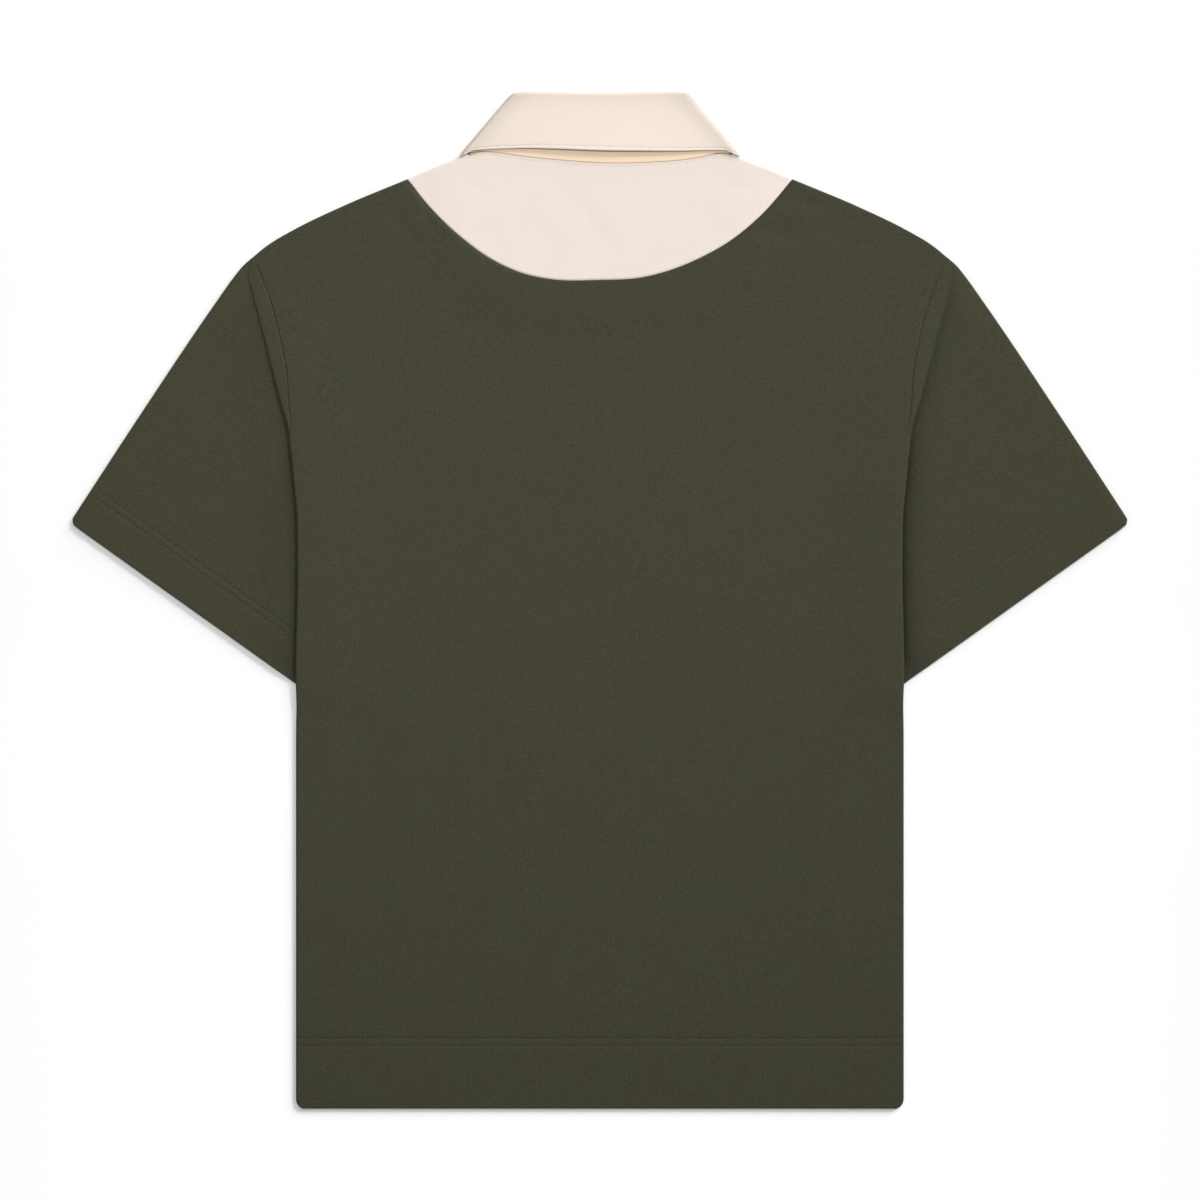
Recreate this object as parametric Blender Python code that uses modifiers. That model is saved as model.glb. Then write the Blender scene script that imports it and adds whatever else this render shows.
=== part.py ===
"""Short-sleeved rugby shirt, laid flat on its front: the back, its yoke and the turned-down collar are on top.

Every piece is a wall of cloth: a grid on the middle of the wall, lofted between the seams of the pattern piece,
and thickened by Solidify. Tables and points are in millimetres from the shirt's centre; meshes are in metres.
+X is to the right, +Y towards the collar, +Z up. The front panel rests on z = 0.
"""

from math import cos, radians, sin

import bpy
import numpy as np

MM = 0.001

# Driving dimensions
HEM_Y = -381.2
HEM_DEPTH = 53.0  # cloth turned up inside the hem
CUFF_HEM = 31.7
CUFF_CORNER = 5.0  # length of the rounding where the sleeve's fold meets the cuff
JERSEY = 1.2  # thickness of one ply of the body and the sleeves
DOUBLED = 1.95  # two plies pressed together in a hem
COLLAR_PLY = 1.5  # two plies with interlining
SEAM_GAP = 0.3
HIDDEN_GAP = 0.8  # at a seam inside the pleat, where the cloth bends
PLY_STEP = JERSEY + SEAM_GAP  # one ply lying on another
INNER_Z, OUTER_Z = 0.0, 4.2  # the shirt's two outer faces where it is two plies thick
SEAM_DROP = 0.4  # the cloth goes straight down to the seam half-way between the panels
PLEAT_R = 1.0  # bends of the sleeve's pleat
NECK_LIFT = 1.8  # the panels are raised this much where the collar's leaves lie under them
ARM_BLEND = 60.0  # the back panel comes down from the sleeve over this width
VALLEY = 26.0  # the sleeve comes up again from the pleat over this length
PLACKET_HALF = 16.0
PLACKET_Y = (90.0, 250.6)

# The body's side below the armhole, left of the centre line. fold: to the visible edge. top: upper face of the
# panel. turn: how far the back bends over the edge, in degrees. under: how far it then goes on before its seam.
# front_turn: how far the front panel bends.
SIDE_COLUMNS = ("y", "fold", "top", "turn", "under", "front_turn")
SIDE_ROWS = (
    (-381.2, 224.6, 4.2, 90, 0.4, 90),
    (-378.6, 226.8, 4.2, 90, 0.4, 90),
    (-373.5, 227.4, 4.2, 90, 0.4, 90),
    (-329.0, 227.4, 4.2, 90, 0.4, 90),
    (-327.2, 227.4, 4.2, 90, 0.4, 90),
    (-165.0, 227.4, 4.2, 90, 0.4, 90),
    (-105.0, 227.4, 4.2, 90, 0.4, 90),
    (-88.0, 227.5, 4.4, 90, 0.4, 90),
    (-79.0, 228.0, 5.2, 100, 0.4, 55),
    (-71.5, 228.4, 5.9, 112, 0.3, 0),
    (-62.0, 228.5, 6.1, 115, 0.2, 0),
)

# The left armhole, from the underarm to the shoulder tip. The cloth goes over the body's edge and down to the
# sleeve under it. seam: where the panel is cut, along the cloth from the start of the bend. top: upper face of the
# panel. turn: each of the two bends. tuck: between them.
ARMHOLE_COLUMNS = ("y", "fold", "seam", "top", "turn", "tuck")
ARMHOLE_ROWS = (
    (-50.0, 228.4, 2.2, 6.1, 115, 0.6),
    (-16.0, 227.6, 2.3, 6.1, 115, 0.6),
    (20.0, 226.9, 2.3, 6.1, 115, 0.6),
    (60.0, 227.3, 2.3, 6.1, 115, 0.6),
    (94.0, 230.3, 2.3, 6.1, 115, 0.6),
    (112.0, 232.0, 1.9, 6.1, 115, 0.6),
    (120.0, 233.0, 0.9, 6.1, 115, 0.6),
    (128.0, 234.0, -0.8, 6.1, 115, 0.6),
    (150.0, 240.0, -4.9, 6.1, 115, 0.6),
    (173.0, 246.0, -9.3, 6.1, 115, 0.6),
    (195.0, 251.6, -10.8, 6.1, 115, 0.6),
    (212.0, 256.0, -11.1, 6.0, 105, 0.4),
    (224.0, 259.4, -11.0, 5.5, 85, 0.0),
    (235.0, 262.2, -9.8, 4.9, 55, 0.0),
    (243.0, 264.0, -8.0, 4.5, 35, 0.0),
    (249.5, 264.4, -6.2, 4.3, 20, 0.0),
)
FRONT_ARMHOLE = (
    (-220.75, -56.0), (-222.5, -49.0), (-223.2, -38.0), (-223.4, -20.0), (-223.6, 0.0), (-224.2, 60.0),
    (-226.5, 120.0), (-232.0, 172.0), (-243.0, 216.0), (-258.4, 253.0),
)

# Visible edges: the shoulder from its tip to the yoke's corner and on to the neck, and the sleeve's upper edge
SHOULDER_TIP = (-260.6, 257.4)
SHOULDER = (SHOULDER_TIP, (-248.6, 266.9), (-229.9, 277.9), (-191.6, 296.3), (-144.6, 315.9))
YOKE_SHOULDER = (
    (-144.6, 315.9), (-126.0, 323.9), (-112.5, 328.9), (-106.5, 331.3), (-103.3, 333.6), (-101.3, 336.0),
)
SLEEVE_TOP = (SHOULDER_TIP, (-267.6, 251.2), (-274.6, 242.6), (-287.4, 224.6), (-343.4, 141.5), (-397.7, 58.4))
CUFF_INNER = (-222.2, -66.7)  # the cuff's hidden end, under the body
UNDERARM = (-222.2, -57.0)

# Seams, left to right
YOKE_SEAM = (
    (-144.6, 315.9), (-127.1, 294.2), (-104.6, 272.5), (-82.1, 256.0), (-59.6, 245.5), (-37.1, 240.6),
    (0.0, 240.0), (30.4, 241.7), (52.9, 247.4), (75.4, 256.7), (97.9, 269.5), (120.4, 288.2), (144.6, 315.9),
)
FRONT_YOKE_SEAM = (
    (-144.6, 315.9), (-131.0, 285.0), (-110.0, 254.0), (-85.0, 229.0), (-58.0, 209.0), (-30.0, 197.0),
    (0.0, 193.0),
)
NECK_SEAM = (
    (-99.7, 334.6), (-90.0, 336.6), (-74.6, 335.3), (-61.0, 333.2), (-30.0, 329.9), (5.0, 327.7), (40.0, 328.4),
    (65.0, 330.4), (78.0, 332.6), (90.0, 335.3), (99.7, 334.6),
)
FRONT_NECK_SEAM = ((-99.7, 334.6), (-94.0, 308.0), (-76.0, 279.0), (-44.0, 259.0), (-16.3, 252.2), (-1.5, 251.0))

# The collar is bent along its roll, between the stand and the fall, and round the two sides of the neck.
COLLAR_BACK_Z, COLLAR_FRONT_Z = 6.7, 1.65  # height of the roll's centre
ROLL_BACK, ROLL_FRONT = 1.3, 0.9  # from the roll's centre to the middle of each ply
SIDE_ROLL = ((-65.9, 373.9), (-101.4, 332.6))  # axis of the bend at the neck's left side, top and bottom
CORNER_RISE = (3.6, 4.2)  # of the roll, where the bend comes up from the side to the back
LEAF_END = ((-5.0, 292.0), (-74.0, 252.0))  # leading edge of the left leaf: from the roll to the collar's point
# Back of the collar. roll: its centre. edge: lower edge of the fall. lift: of that edge, off the stand.
COLLAR_COLUMNS = ("roll_x", "roll_y", "edge_x", "edge_y", "lift", "neck_x")
COLLAR_ROWS = (
    (-57.0, 378.6, -95.0, 336.9, 0.0, -90.0),
    (-48.0, 378.6, -84.0, 337.6, 0.0, -79.0),
    (-34.0, 378.4, -58.0, 338.4, 1.2, -56.0),
    (-17.0, 378.0, -29.0, 337.7, 2.4, -28.0),
    (0.0, 377.8, 0.0, 336.6, 2.9, 0.0),
    (17.0, 378.0, 29.0, 336.3, 2.4, 28.0),
    (34.0, 378.4, 58.0, 336.3, 1.3, 56.0),
    (48.0, 378.6, 84.0, 336.9, 0.2, 79.0),
    (57.0, 378.6, 95.0, 336.7, 0.0, 90.0),
)

GREEN = (0.053, 0.055, 0.030)
CREAM = (0.86, 0.77, 0.66)


def smooth(t):
    t = np.clip(t, 0.0, 1.0)
    return t * t * (3.0 - 2.0 * t)


def along(points, share):
    """Points at these shares of the length of a smooth curve through the given ones."""
    p = np.array(points, float)
    step = np.linalg.norm(np.diff(p[:, :2], axis=0), axis=1)[:, None]
    rise = np.diff(p, axis=0) / step
    middle = (rise[:-1] * step[1:] + rise[1:] * step[:-1]) / (step[1:] + step[:-1])
    slope = np.vstack([rise[:1], middle, rise[-1:]])
    t = np.linspace(0, 1, 12)[1:, None]
    parts = [p[:1]]
    for k, h in enumerate(step):
        parts.append((1 + 2 * t) * (1 - t) ** 2 * p[k] + t * (1 - t) ** 2 * h * slope[k]
                     + t * t * (3 - 2 * t) * p[k + 1] + t * t * (t - 1) * h * slope[k + 1])
    curve = np.vstack(parts)
    run = np.concatenate([[0], np.cumsum(np.linalg.norm(np.diff(curve, axis=0), axis=1))])
    at = np.asarray(share) * run[-1]
    return np.stack([np.interp(at, run, curve[:, k]) for k in range(curve.shape[1])], axis=-1)


def beside(curve, offset):
    """The curve moved sideways in plan, to its left by offset."""
    d = np.gradient(curve, axis=0)
    n = np.stack([-d[:, 1], d[:, 0]], axis=1)
    return curve + offset * n / np.linalg.norm(n, axis=1)[:, None]


def patch(bottom, top, left, right, start=0):
    """Coons patch between four curves in plan: rows from bottom to top, columns from left to right. The rows are
    like the bottom curve up to the row start."""
    u = np.linspace(0, 1, len(bottom))[None, :, None]
    run = np.concatenate([[0], np.cumsum(np.linalg.norm(np.diff(left, axis=0), axis=1))])
    v = (np.clip(run - run[start], 0, None) / (run[-1] - run[start]))[:, None, None]
    across = (1 - u) * left[:, None] + u * right[:, None]
    upward = (1 - v) * bottom[None] + v * top[None]
    low_corners = (1 - u) * bottom[0] + u * bottom[-1]
    high_corners = (1 - u) * top[0] + u * top[-1]
    return across + upward - (1 - v) * low_corners - v * high_corners


def neck_lift(x, y):
    """Height that the collar's leaves add to whatever lies over them."""
    far = (np.abs(x / 105.0) ** 3 + np.abs((y - 335.0) / 105.0) ** 3) ** (1 / 3)
    return NECK_LIFT * smooth((1.40 - far) / 0.38)


class Edge:
    """Cloth going over an edge: flat, a bend down by turn (up, if the radius is negative), straight for tuck, and
    the same bend back."""

    def __init__(self, point, outward, z, radius, turn, tuck=0.0):
        self.point, self.z, self.turn, self.tuck = np.array(point, float), z, radians(turn), tuck
        self.r, self.way = abs(radius), 1.0 if radius > 0 else -1.0
        self.out = np.array(outward, float) / np.linalg.norm(outward)
        self.bend = self.r * self.turn

    def at(self, s):
        r, turn = self.r, self.turn
        if s <= 0:
            step, drop = s, 0.0
        elif s <= self.bend:
            step, drop = r * sin(s / r), r * (1 - cos(s / r))
        else:
            flat = min(s - self.bend, self.tuck)
            back = min(max(s - self.bend - self.tuck, 0.0), self.bend) / r
            rest = max(s - 2 * self.bend - self.tuck, 0.0)
            step = r * sin(turn) + flat * cos(turn) + r * (sin(turn) - sin(turn - back)) + rest
            drop = r * (1 - cos(turn)) + flat * sin(turn) + r * (cos(turn - back) - cos(turn))
        return np.array([*(self.point + self.out * step), self.z - self.way * drop])

    def run(self, start, end, ends_in_pleat=False):
        """Points on the cloth from start to end, always at the same places in its bends. Those outside the range
        are drawn in to its ends."""
        b, again = self.bend, self.bend + self.tuck
        places = [start, 0, b / 3, b * 2 / 3, b, again, again + b / 3, again + b * 2 / 3, again + b, end]
        if ends_in_pleat:
            places[6:9] = [again + b / 2]
        last = len(places) - 1
        least = 0.1 if end > 0 else (end - start) / last
        s = [min(max(place, start + least * k), end - least * (last - k)) for k, place in enumerate(places)]
        return np.array([self.at(k) for k in s])

    def to_seam(self, end):
        """Points on the cloth as far as a seam in the straight part beyond the first bend."""
        places = (-3.0, 0.0, self.bend / 3, self.bend * 2 / 3, min(self.bend, end - 0.1), end)
        return np.array([self.at(k) for k in places])


def shoulder_edges(points, share):
    """The two panels' edges along the shoulder, back then front, bent to the seam half-way between them."""
    rim = along(points, share)
    d = np.gradient(rim, axis=0)
    out = np.stack([-d[:, 1], d[:, 0]], axis=1)
    edges = []
    for (x, y), n in zip(rim, out):
        n = n / np.linalg.norm(n)
        radius = (OUTER_Z - INNER_Z - JERSEY) / 2 - SEAM_DROP
        inner = np.array([x, y]) - n * (radius + JERSEY / 2)
        lift = neck_lift(*inner)
        edges.append((Edge(inner, n, OUTER_Z - JERSEY / 2 + lift, radius, 90, SEAM_DROP),
                      Edge(inner, n, INNER_Z + JERSEY / 2 + lift, -radius, 90, SEAM_DROP)))
    return edges


def solid(name, grid, ply, colour, closed=False, mirrored=False):
    """A wall of cloth on a grid of points. ply is its thickness, one for all or one for each point."""
    rows, columns = grid.shape[:2]
    points = grid.reshape(-1, 3) * MM
    if mirrored:
        points = points * np.array([-1, 1, 1])
    faces = []
    for i in range(rows - 1):
        for j in range(columns if closed else columns - 1):
            a, b = i * columns + j, i * columns + (j + 1) % columns
            quad = (a, b, b + columns, a + columns)
            faces.append(quad[::-1] if mirrored else quad)
    mesh = bpy.data.meshes.new(name)
    mesh.from_pydata(points.tolist(), [], faces)
    shape = bpy.data.objects.new(name, mesh)
    shirt.objects.link(shape)
    ply = np.broadcast_to(ply, (rows, columns)).reshape(-1)
    wall = shape.modifiers.new("wall", "SOLIDIFY")
    wall.thickness = float(ply.max()) * MM
    wall.offset = 0.0
    if ply.max() > ply.min():
        group = shape.vertex_groups.new(name="ply")
        for k, thickness in enumerate(ply):
            group.add([k], float(thickness / ply.max()), "REPLACE")
        wall.vertex_group = group.name
    material = bpy.data.materials.new(name)
    material.use_nodes = True
    surface = material.node_tree.nodes["Principled BSDF"]
    surface.inputs["Base Color"].default_value = (*colour, 1.0)
    surface.inputs["Roughness"].default_value = 0.95
    mesh.materials.append(material)
    return shape


def mirror(grid):
    return grid * np.array([-1.0, 1.0, 1.0])


def hem_plies(runs, grid):
    """Thickness at each point of a panel: doubled in the hem, but single at its two bent edges."""
    ply = np.tile(plies[:, None], (1, grid.shape[1]))
    ply[:, :runs.shape[1]] = ply[:, -runs.shape[1]:] = JERSEY
    return ply


for old in list(bpy.data.objects):
    bpy.data.objects.remove(old)
shirt = bpy.data.collections.new("rugby_shirt")
bpy.context.scene.collection.children.link(shirt)
cutters = bpy.data.collections.new("cutters")
bpy.context.scene.collection.children.link(cutters)

half_gap = SEAM_GAP / 2

# The shirt's left edge, as one list of rows from the hem to the yoke's corner
SEAM_SHARES = np.linspace(0, 1, 19)
back_runs, front_runs, plies, tops = [], [], [], []
for y, fold, top, turn, under, front_turn in SIDE_ROWS:
    side_r = (OUTER_Z - INNER_Z - JERSEY) / 2 - SEAM_DROP
    pleated = smooth((top - OUTER_Z) / 1.9)
    radius = side_r * (1 - pleated) + PLEAT_R * pleated
    edge = Edge((-(fold - JERSEY / 2 - radius), y), (-1, 0), top - JERSEY / 2, radius, turn, under)
    back_runs.append(edge.run(-3.0, edge.bend + under - half_gap, True))
    bent = front_turn / 90
    inner = -bent * (fold - JERSEY / 2 - side_r) + (1 - bent) * (FRONT_ARMHOLE[0][0] + half_gap)
    if front_turn:
        front = Edge((inner, y), (-1, 0), JERSEY / 2, -side_r, front_turn, SEAM_DROP)
        front_runs.append(front.to_seam(front.bend + SEAM_DROP - half_gap))
    else:
        front_runs.append(np.array([[inner + s, y, JERSEY / 2] for s in np.linspace(3.0, 0.0, 6)]))
    plies.append(DOUBLED if y < HEM_Y + HEM_DEPTH else JERSEY)
    tops.append(top)

armhole_edges = []
front_armhole = along(FRONT_ARMHOLE, np.linspace(0, 1, 60))
for y, fold, seam, top, turn, tuck in ARMHOLE_ROWS:
    radius = max(PLEAT_R, 1.3 / radians(turn))
    inner = fold - JERSEY / 2 - radius * sin(radians(min(turn, 90)))
    edge = Edge((-inner, y), (-1, 0), top - JERSEY / 2, radius, turn, tuck)
    gap = half_gap if seam < -4 else HIDDEN_GAP / 2
    armhole_edges.append((edge, seam + gap))
    back_runs.append(edge.run(min(seam, 0.0) - 3.0, seam - gap, True))
    cut = np.interp(y, front_armhole[:, 1], front_armhole[:, 0]) + half_gap
    front_runs.append(np.array([[cut + s, y, JERSEY / 2] for s in np.linspace(3.0, 0.0, 6)]))
    plies.append(JERSEY)
    tops.append(top)

for k, (back, front) in enumerate(shoulder_edges(SHOULDER, np.linspace(0.0, 0.9987, 5))):
    end = back.bend + SEAM_DROP - (half_gap if k else SEAM_DROP)
    back_runs.append(back.run(-3.0, end, True))
    front_runs.append(front.to_seam(end))
    plies.append(JERSEY)
    tops.append(OUTER_Z)
back_runs, front_runs = np.array(back_runs), np.array(front_runs)
plies, tops = np.array(plies), np.array(tops)


def panel(runs, seam, base, side, tops):
    """A body panel: the bent edges at both sides, and a patch between the hem and the yoke's seam."""
    left = runs[:, 0, :2]
    right = left * np.array([-1, 1])
    hem = left[0] + (right[0] - left[0]) * SEAM_SHARES[:, None]
    top = beside(along(seam, SEAM_SHARES), -half_gap)
    top[0], top[-1] = left[-1], right[-1]
    plan = patch(hem, top, left, right, len(SIDE_ROWS))
    x, y = plan[..., 0], plan[..., 1]
    reach = smooth(1 - (np.abs(left[:, :1]) - np.abs(x)) / ARM_BLEND)
    z = base + neck_lift(x, y) + side * (reach * (tops[:, None] - OUTER_Z) - (plies[:, None] - JERSEY) / 2)
    middle = np.dstack([x, y, z])[:, 1:-1]
    return np.concatenate([runs[:, ::-1], middle, mirror(runs)], axis=1)


# Back panel and front panel. The front's slit for the placket is cut out.
grid = panel(back_runs, YOKE_SEAM, OUTER_Z - JERSEY / 2, 1, tops)
solid("back_panel", grid, hem_plies(back_runs, grid), GREEN)
front_seam = FRONT_YOKE_SEAM + tuple((-x, y) for x, y in FRONT_YOKE_SEAM[-2::-1])
grid = panel(front_runs, front_seam, INNER_Z + JERSEY / 2, -1, tops * 0 + OUTER_Z)
front_panel = solid("front_panel", grid, hem_plies(front_runs, grid), GREEN)
slot_half = PLACKET_HALF + SEAM_GAP
bpy.ops.mesh.primitive_cube_add(size=1, location=(0, (PLACKET_Y[0] - SEAM_GAP + 150) * MM, 0))
slit = bpy.context.object
slit.name = "placket_slit"
slit.scale = (2 * slot_half * MM, 300 * MM, 20 * MM)
slit.display_type, slit.hide_render = "WIRE", True
for home in list(slit.users_collection):
    home.objects.unlink(slit)
cutters.objects.link(slit)
cut = front_panel.modifiers.new("placket slit", "BOOLEAN")
cut.object, cut.solver = slit, "FAST"

# Back yoke: between the panel's seam and the neck seam, bent over both shoulders
yoke_edges = shoulder_edges(YOKE_SHOULDER, np.array([0.003, 0.22, 0.45, 0.65, 0.82, 0.92, 0.997]))
runs = np.array([back.to_seam(back.bend + SEAM_DROP - half_gap) for back, front in yoke_edges])
left = runs[:, 0, :2]
bottom = beside(along(YOKE_SEAM, SEAM_SHARES), half_gap)
top = beside(along(NECK_SEAM, SEAM_SHARES), -half_gap)
bottom[0], bottom[-1], top[0], top[-1] = left[0], left[0] * (-1, 1), left[-1], left[-1] * (-1, 1)
plan = patch(bottom, top, left, left * np.array([-1, 1]))
x, y = plan[..., 0], plan[..., 1]
middle = np.dstack([x, y, OUTER_Z - JERSEY / 2 + neck_lift(x, y)])[:, 1:-1]
solid("back_yoke", np.concatenate([runs[:, ::-1], middle, mirror(runs)], axis=1), JERSEY, CREAM)

# Front yoke, left and right of the placket
runs = np.array([front.to_seam(front.bend + SEAM_DROP - half_gap) for back, front in yoke_edges])
left = runs[:, 0, :2]
neck = along(FRONT_NECK_SEAM, np.linspace(0, 1, 80))
seam = beside(along(front_seam, SEAM_SHARES), half_gap)
bottom = seam[seam[:, 0] < -slot_half - 2.0]
bottom = np.vstack([bottom, [-slot_half, np.interp(-slot_half, seam[:, 0], seam[:, 1])]])
top = beside(along(neck[neck[:, 0] <= -slot_half], np.linspace(0, 1, len(bottom))), -half_gap)
bottom[0], top[0], top[-1, 0] = left[0], left[-1], -slot_half
right = bottom[-1] + (top[-1] - bottom[-1]) * np.linspace(0, 1, len(left))[:, None]
plan = patch(bottom, top, left, right)
x, y = plan[..., 0], plan[..., 1]
middle = np.dstack([x, y, JERSEY / 2 + neck_lift(x, y)])[:, 1:]
grid = np.concatenate([runs[:, ::-1], middle], axis=1)
solid("front_yoke_left", grid, JERSEY, CREAM)
solid("front_yoke_right", grid, JERSEY, CREAM, mirrored=True)

# Placket: the upper strip fills the slit, and the under strip lies on it
for name, half, low, z in (("placket_upper", PLACKET_HALF, 0.0, JERSEY / 2),
                           ("placket_under", PLACKET_HALF - 1.5, 2.0, JERSEY / 2 + PLY_STEP)):
    y = np.concatenate([[PLACKET_Y[0] + low], np.linspace(186, PLACKET_Y[1], 14)])
    x, y = np.meshgrid(np.linspace(-half, half, 3), y)
    solid(name, np.dstack([x, y, z + neck_lift(0 * x, y)]), JERSEY, CREAM)

# Sleeves. Each is one ring of cloth: the fold at its upper edge, the upper layer, the underarm's fold and the
# lower layer. The first rows go through the pleat, the next ones widen to the cuff, and the last are its hem.
PLEAT_ROWS = 10
MAIN_SHARES = (0.05, 0.13, 0.26, 0.48, 0.75)
HEM_ROWS = (CUFF_HEM + 1.2, CUFF_HEM - 0.6, CUFF_CORNER, 1.6, 0.0)
corner, hidden = np.array(SLEEVE_TOP[-1]), np.array(CUFF_INNER)
cuff_way = (hidden - corner) / np.linalg.norm(hidden - corner)
cuff_out = np.array([cuff_way[1], -cuff_way[0]])
cuff_length = np.linalg.norm(hidden - corner)


def to_cuff(start, reach):
    """Points in plan from start to the cuff, at this distance along it from its corner."""
    end = corner + cuff_way * reach
    depth = (end - start) @ cuff_out
    hem = [end + (start - end) * row * min(1.0, depth / 40.0) / depth for row in HEM_ROWS]
    return [start + (hem[0] - start) * share for share in MAIN_SHARES] + hem


strands = []  # from the armhole to the cuff: points (x, y, z) and plies
hem_start = PLEAT_ROWS + len(MAIN_SHARES) + 1  # first row of doubled cloth
row_count = PLEAT_ROWS + len(MAIN_SHARES) + len(HEM_ROWS)

# Fold at the sleeve's upper edge
rim = along(SLEEVE_TOP, np.linspace(0, 1, 400))
inner_rim = beside(rim, 2.1)
run = np.concatenate([[0], np.cumsum(np.linalg.norm(np.diff(inner_rim, axis=0), axis=1))])
reach = np.concatenate([np.linspace(0.9, 5.5, PLEAT_ROWS), [0] * (row_count - PLEAT_ROWS)])
first_hem = run[-1] - HEM_ROWS[0]
for k, share in enumerate(MAIN_SHARES):
    reach[PLEAT_ROWS + k] = 5.5 + (first_hem - 5.5) * share
reach[PLEAT_ROWS + len(MAIN_SHARES):] = run[-1] - np.array(HEM_ROWS)
axis = np.stack([np.interp(reach, run, inner_rim[:, k]) for k in (0, 1)], axis=1)
heading = np.gradient(axis, axis=0)
outward = -np.stack([-heading[:, 1], heading[:, 0]], axis=1)
outward /= np.linalg.norm(outward, axis=1)[:, None]
inset = np.where(np.arange(row_count) == row_count - 1, 2.6, 0.0)
inset[-2] = 0.9
axis = axis - outward * inset[:, None]
plies_here = np.where(np.arange(row_count) >= hem_start, DOUBLED, JERSEY)
radius = (OUTER_Z - plies_here) / 2
for turn in (180, 135, 90, 45, 0):
    a = radians(turn)
    points = np.column_stack([axis + outward * (radius * sin(a))[:, None], OUTER_Z / 2 + radius * cos(a)])
    strands.append((points, plies_here))

# Upper layer, from the shoulder's tip to the underarm
pleats = [edge.run(seam, 2 * edge.bend + edge.tuck + 0.6) for edge, seam in armhole_edges[::-1]]
ends = np.array([run[-1] for run in pleats])
share = np.concatenate([[0], np.cumsum(np.linalg.norm(np.diff(ends[:, :2], axis=0), axis=1))])
share = share / share[-1]
for run, part in zip(pleats, share):
    plan = to_cuff(run[-1, :2], 9.0 + part * (cuff_length - 21.5))
    face = run[-1, 2] + JERSEY / 2
    low = []
    for k, point in enumerate(plan):
        far = min(np.linalg.norm(point - run[-1, :2]), max(1.6 * (run[-1, 0] - point[0]), 0.0))
        height = face + (OUTER_Z - face) * smooth(far / VALLEY)
        ply = min(DOUBLED, (height - 0.25) / 2) if k > len(MAIN_SHARES) else JERSEY
        low.append((*point, height - ply / 2, ply))
    low = np.array(low)
    strands.append((np.vstack([run, low[:, :3]]), np.concatenate([[JERSEY] * PLEAT_ROWS, low[:, 3]])))

# Underarm's fold
start, end = np.array(UNDERARM), hidden
axis = start + (end - start) * np.linspace(0.0, 1.0, row_count)[:, None] - (PLY_STEP / 2, 0)
for turn in (0, 45, 90, 135, 180):
    a = radians(turn)
    bulge = PLY_STEP / 2
    height = JERSEY / 2 + bulge + bulge * cos(a)
    points = np.column_stack([axis + (bulge * sin(a), 0), np.full(row_count, height)])
    strands.append((points, np.full(row_count, JERSEY)))

# Lower layer, back to the shoulder's tip
for y in (-44.0, 20.0, 100.0, 180.0, 228.0, 250.0):
    start = np.array([np.interp(y, front_armhole[:, 1], front_armhole[:, 0]) - half_gap, y])
    part = np.interp(-y, -ends[:, 1], share)
    end = corner + cuff_way * (9.0 + part * (cuff_length - 21.5))
    way = (end - start) / np.linalg.norm(end - start)
    first = [start + way * s for s in np.linspace(0, 9.0, PLEAT_ROWS)]
    plan = np.array(first + to_cuff(first[-1], 9.0 + part * (cuff_length - 21.5)))
    ply = np.where((np.arange(row_count) >= hem_start) & (plan[:, 0] < -240), DOUBLED, JERSEY)
    strands.append((np.column_stack([plan, ply / 2]), ply))

grid = np.array([points for points, ply in strands]).transpose(1, 0, 2)
ply = np.array([ply for points, ply in strands]).T
solid("sleeve_left", grid, ply, GREEN, closed=True)
solid("sleeve_right", grid, ply, GREEN, closed=True, mirrored=True)

# Collar stations, from the left leaf's leading edge round the back to the right one: centre of the roll, lower
# edge of the fall, seam of the stand, way out of the cloth, half of the roll, lift of the fall's edge, and the way
# across the roll
mid_z, bend = (COLLAR_BACK_Z + COLLAR_FRONT_Z) / 2, (COLLAR_BACK_Z - COLLAR_FRONT_Z) / 2
roll_top, roll_low = np.array(SIDE_ROLL[0]), np.array(SIDE_ROLL[1])
side_out = np.array([roll_low[1] - roll_top[1], roll_top[0] - roll_low[0]])
side_out = side_out / np.linalg.norm(side_out)
stand_low = np.array(FRONT_NECK_SEAM[0]) + (0.6, 0.7)
side_top = (roll_top - roll_low) / np.linalg.norm(roll_top - roll_low)
leaf_top = np.array([roll_top[1] - LEAF_END[0][1], LEAF_END[0][0] - roll_top[0]])
leaf_top = leaf_top / np.linalg.norm(leaf_top)
left_half = []
for part in np.linspace(1.0, 0.12, 6):
    roll = roll_top + (np.array(LEAF_END[0]) - roll_top) * part
    low = roll_low + (np.array(LEAF_END[1]) - roll_low) * part
    neck_point = beside(along(FRONT_NECK_SEAM, np.linspace(0, 1, 50)), 1.6)[int(round(part * 49))]
    left_half.append((roll, COLLAR_FRONT_Z, low, neck_point, (0, 0, -1), ROLL_FRONT, 0.0, leaf_top))
for turn in (-90, -50, -15, 15, 50, 90):
    a = radians(turn)
    out = side_out * cos(a)
    half = ROLL_FRONT + (ROLL_BACK - ROLL_FRONT) * (turn + 90) / 180
    inward = np.array([1.6, 0.0]) * max(-sin(a), 0.0)
    up = max(sin(a), 0.0) ** 2
    left_half.append((roll_top + bend * out + up * np.array(CORNER_RISE), mid_z + bend * sin(a),
                      roll_low + bend * out, stand_low + bend * out + inward, (*out, sin(a)), half, 0.0,
                      side_top * (1 - up) + up * np.array([-0.2, 1.0])))
neck_line = beside(along(NECK_SEAM, np.linspace(0, 1, 120)), half_gap)
stations = list(left_half)
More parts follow.
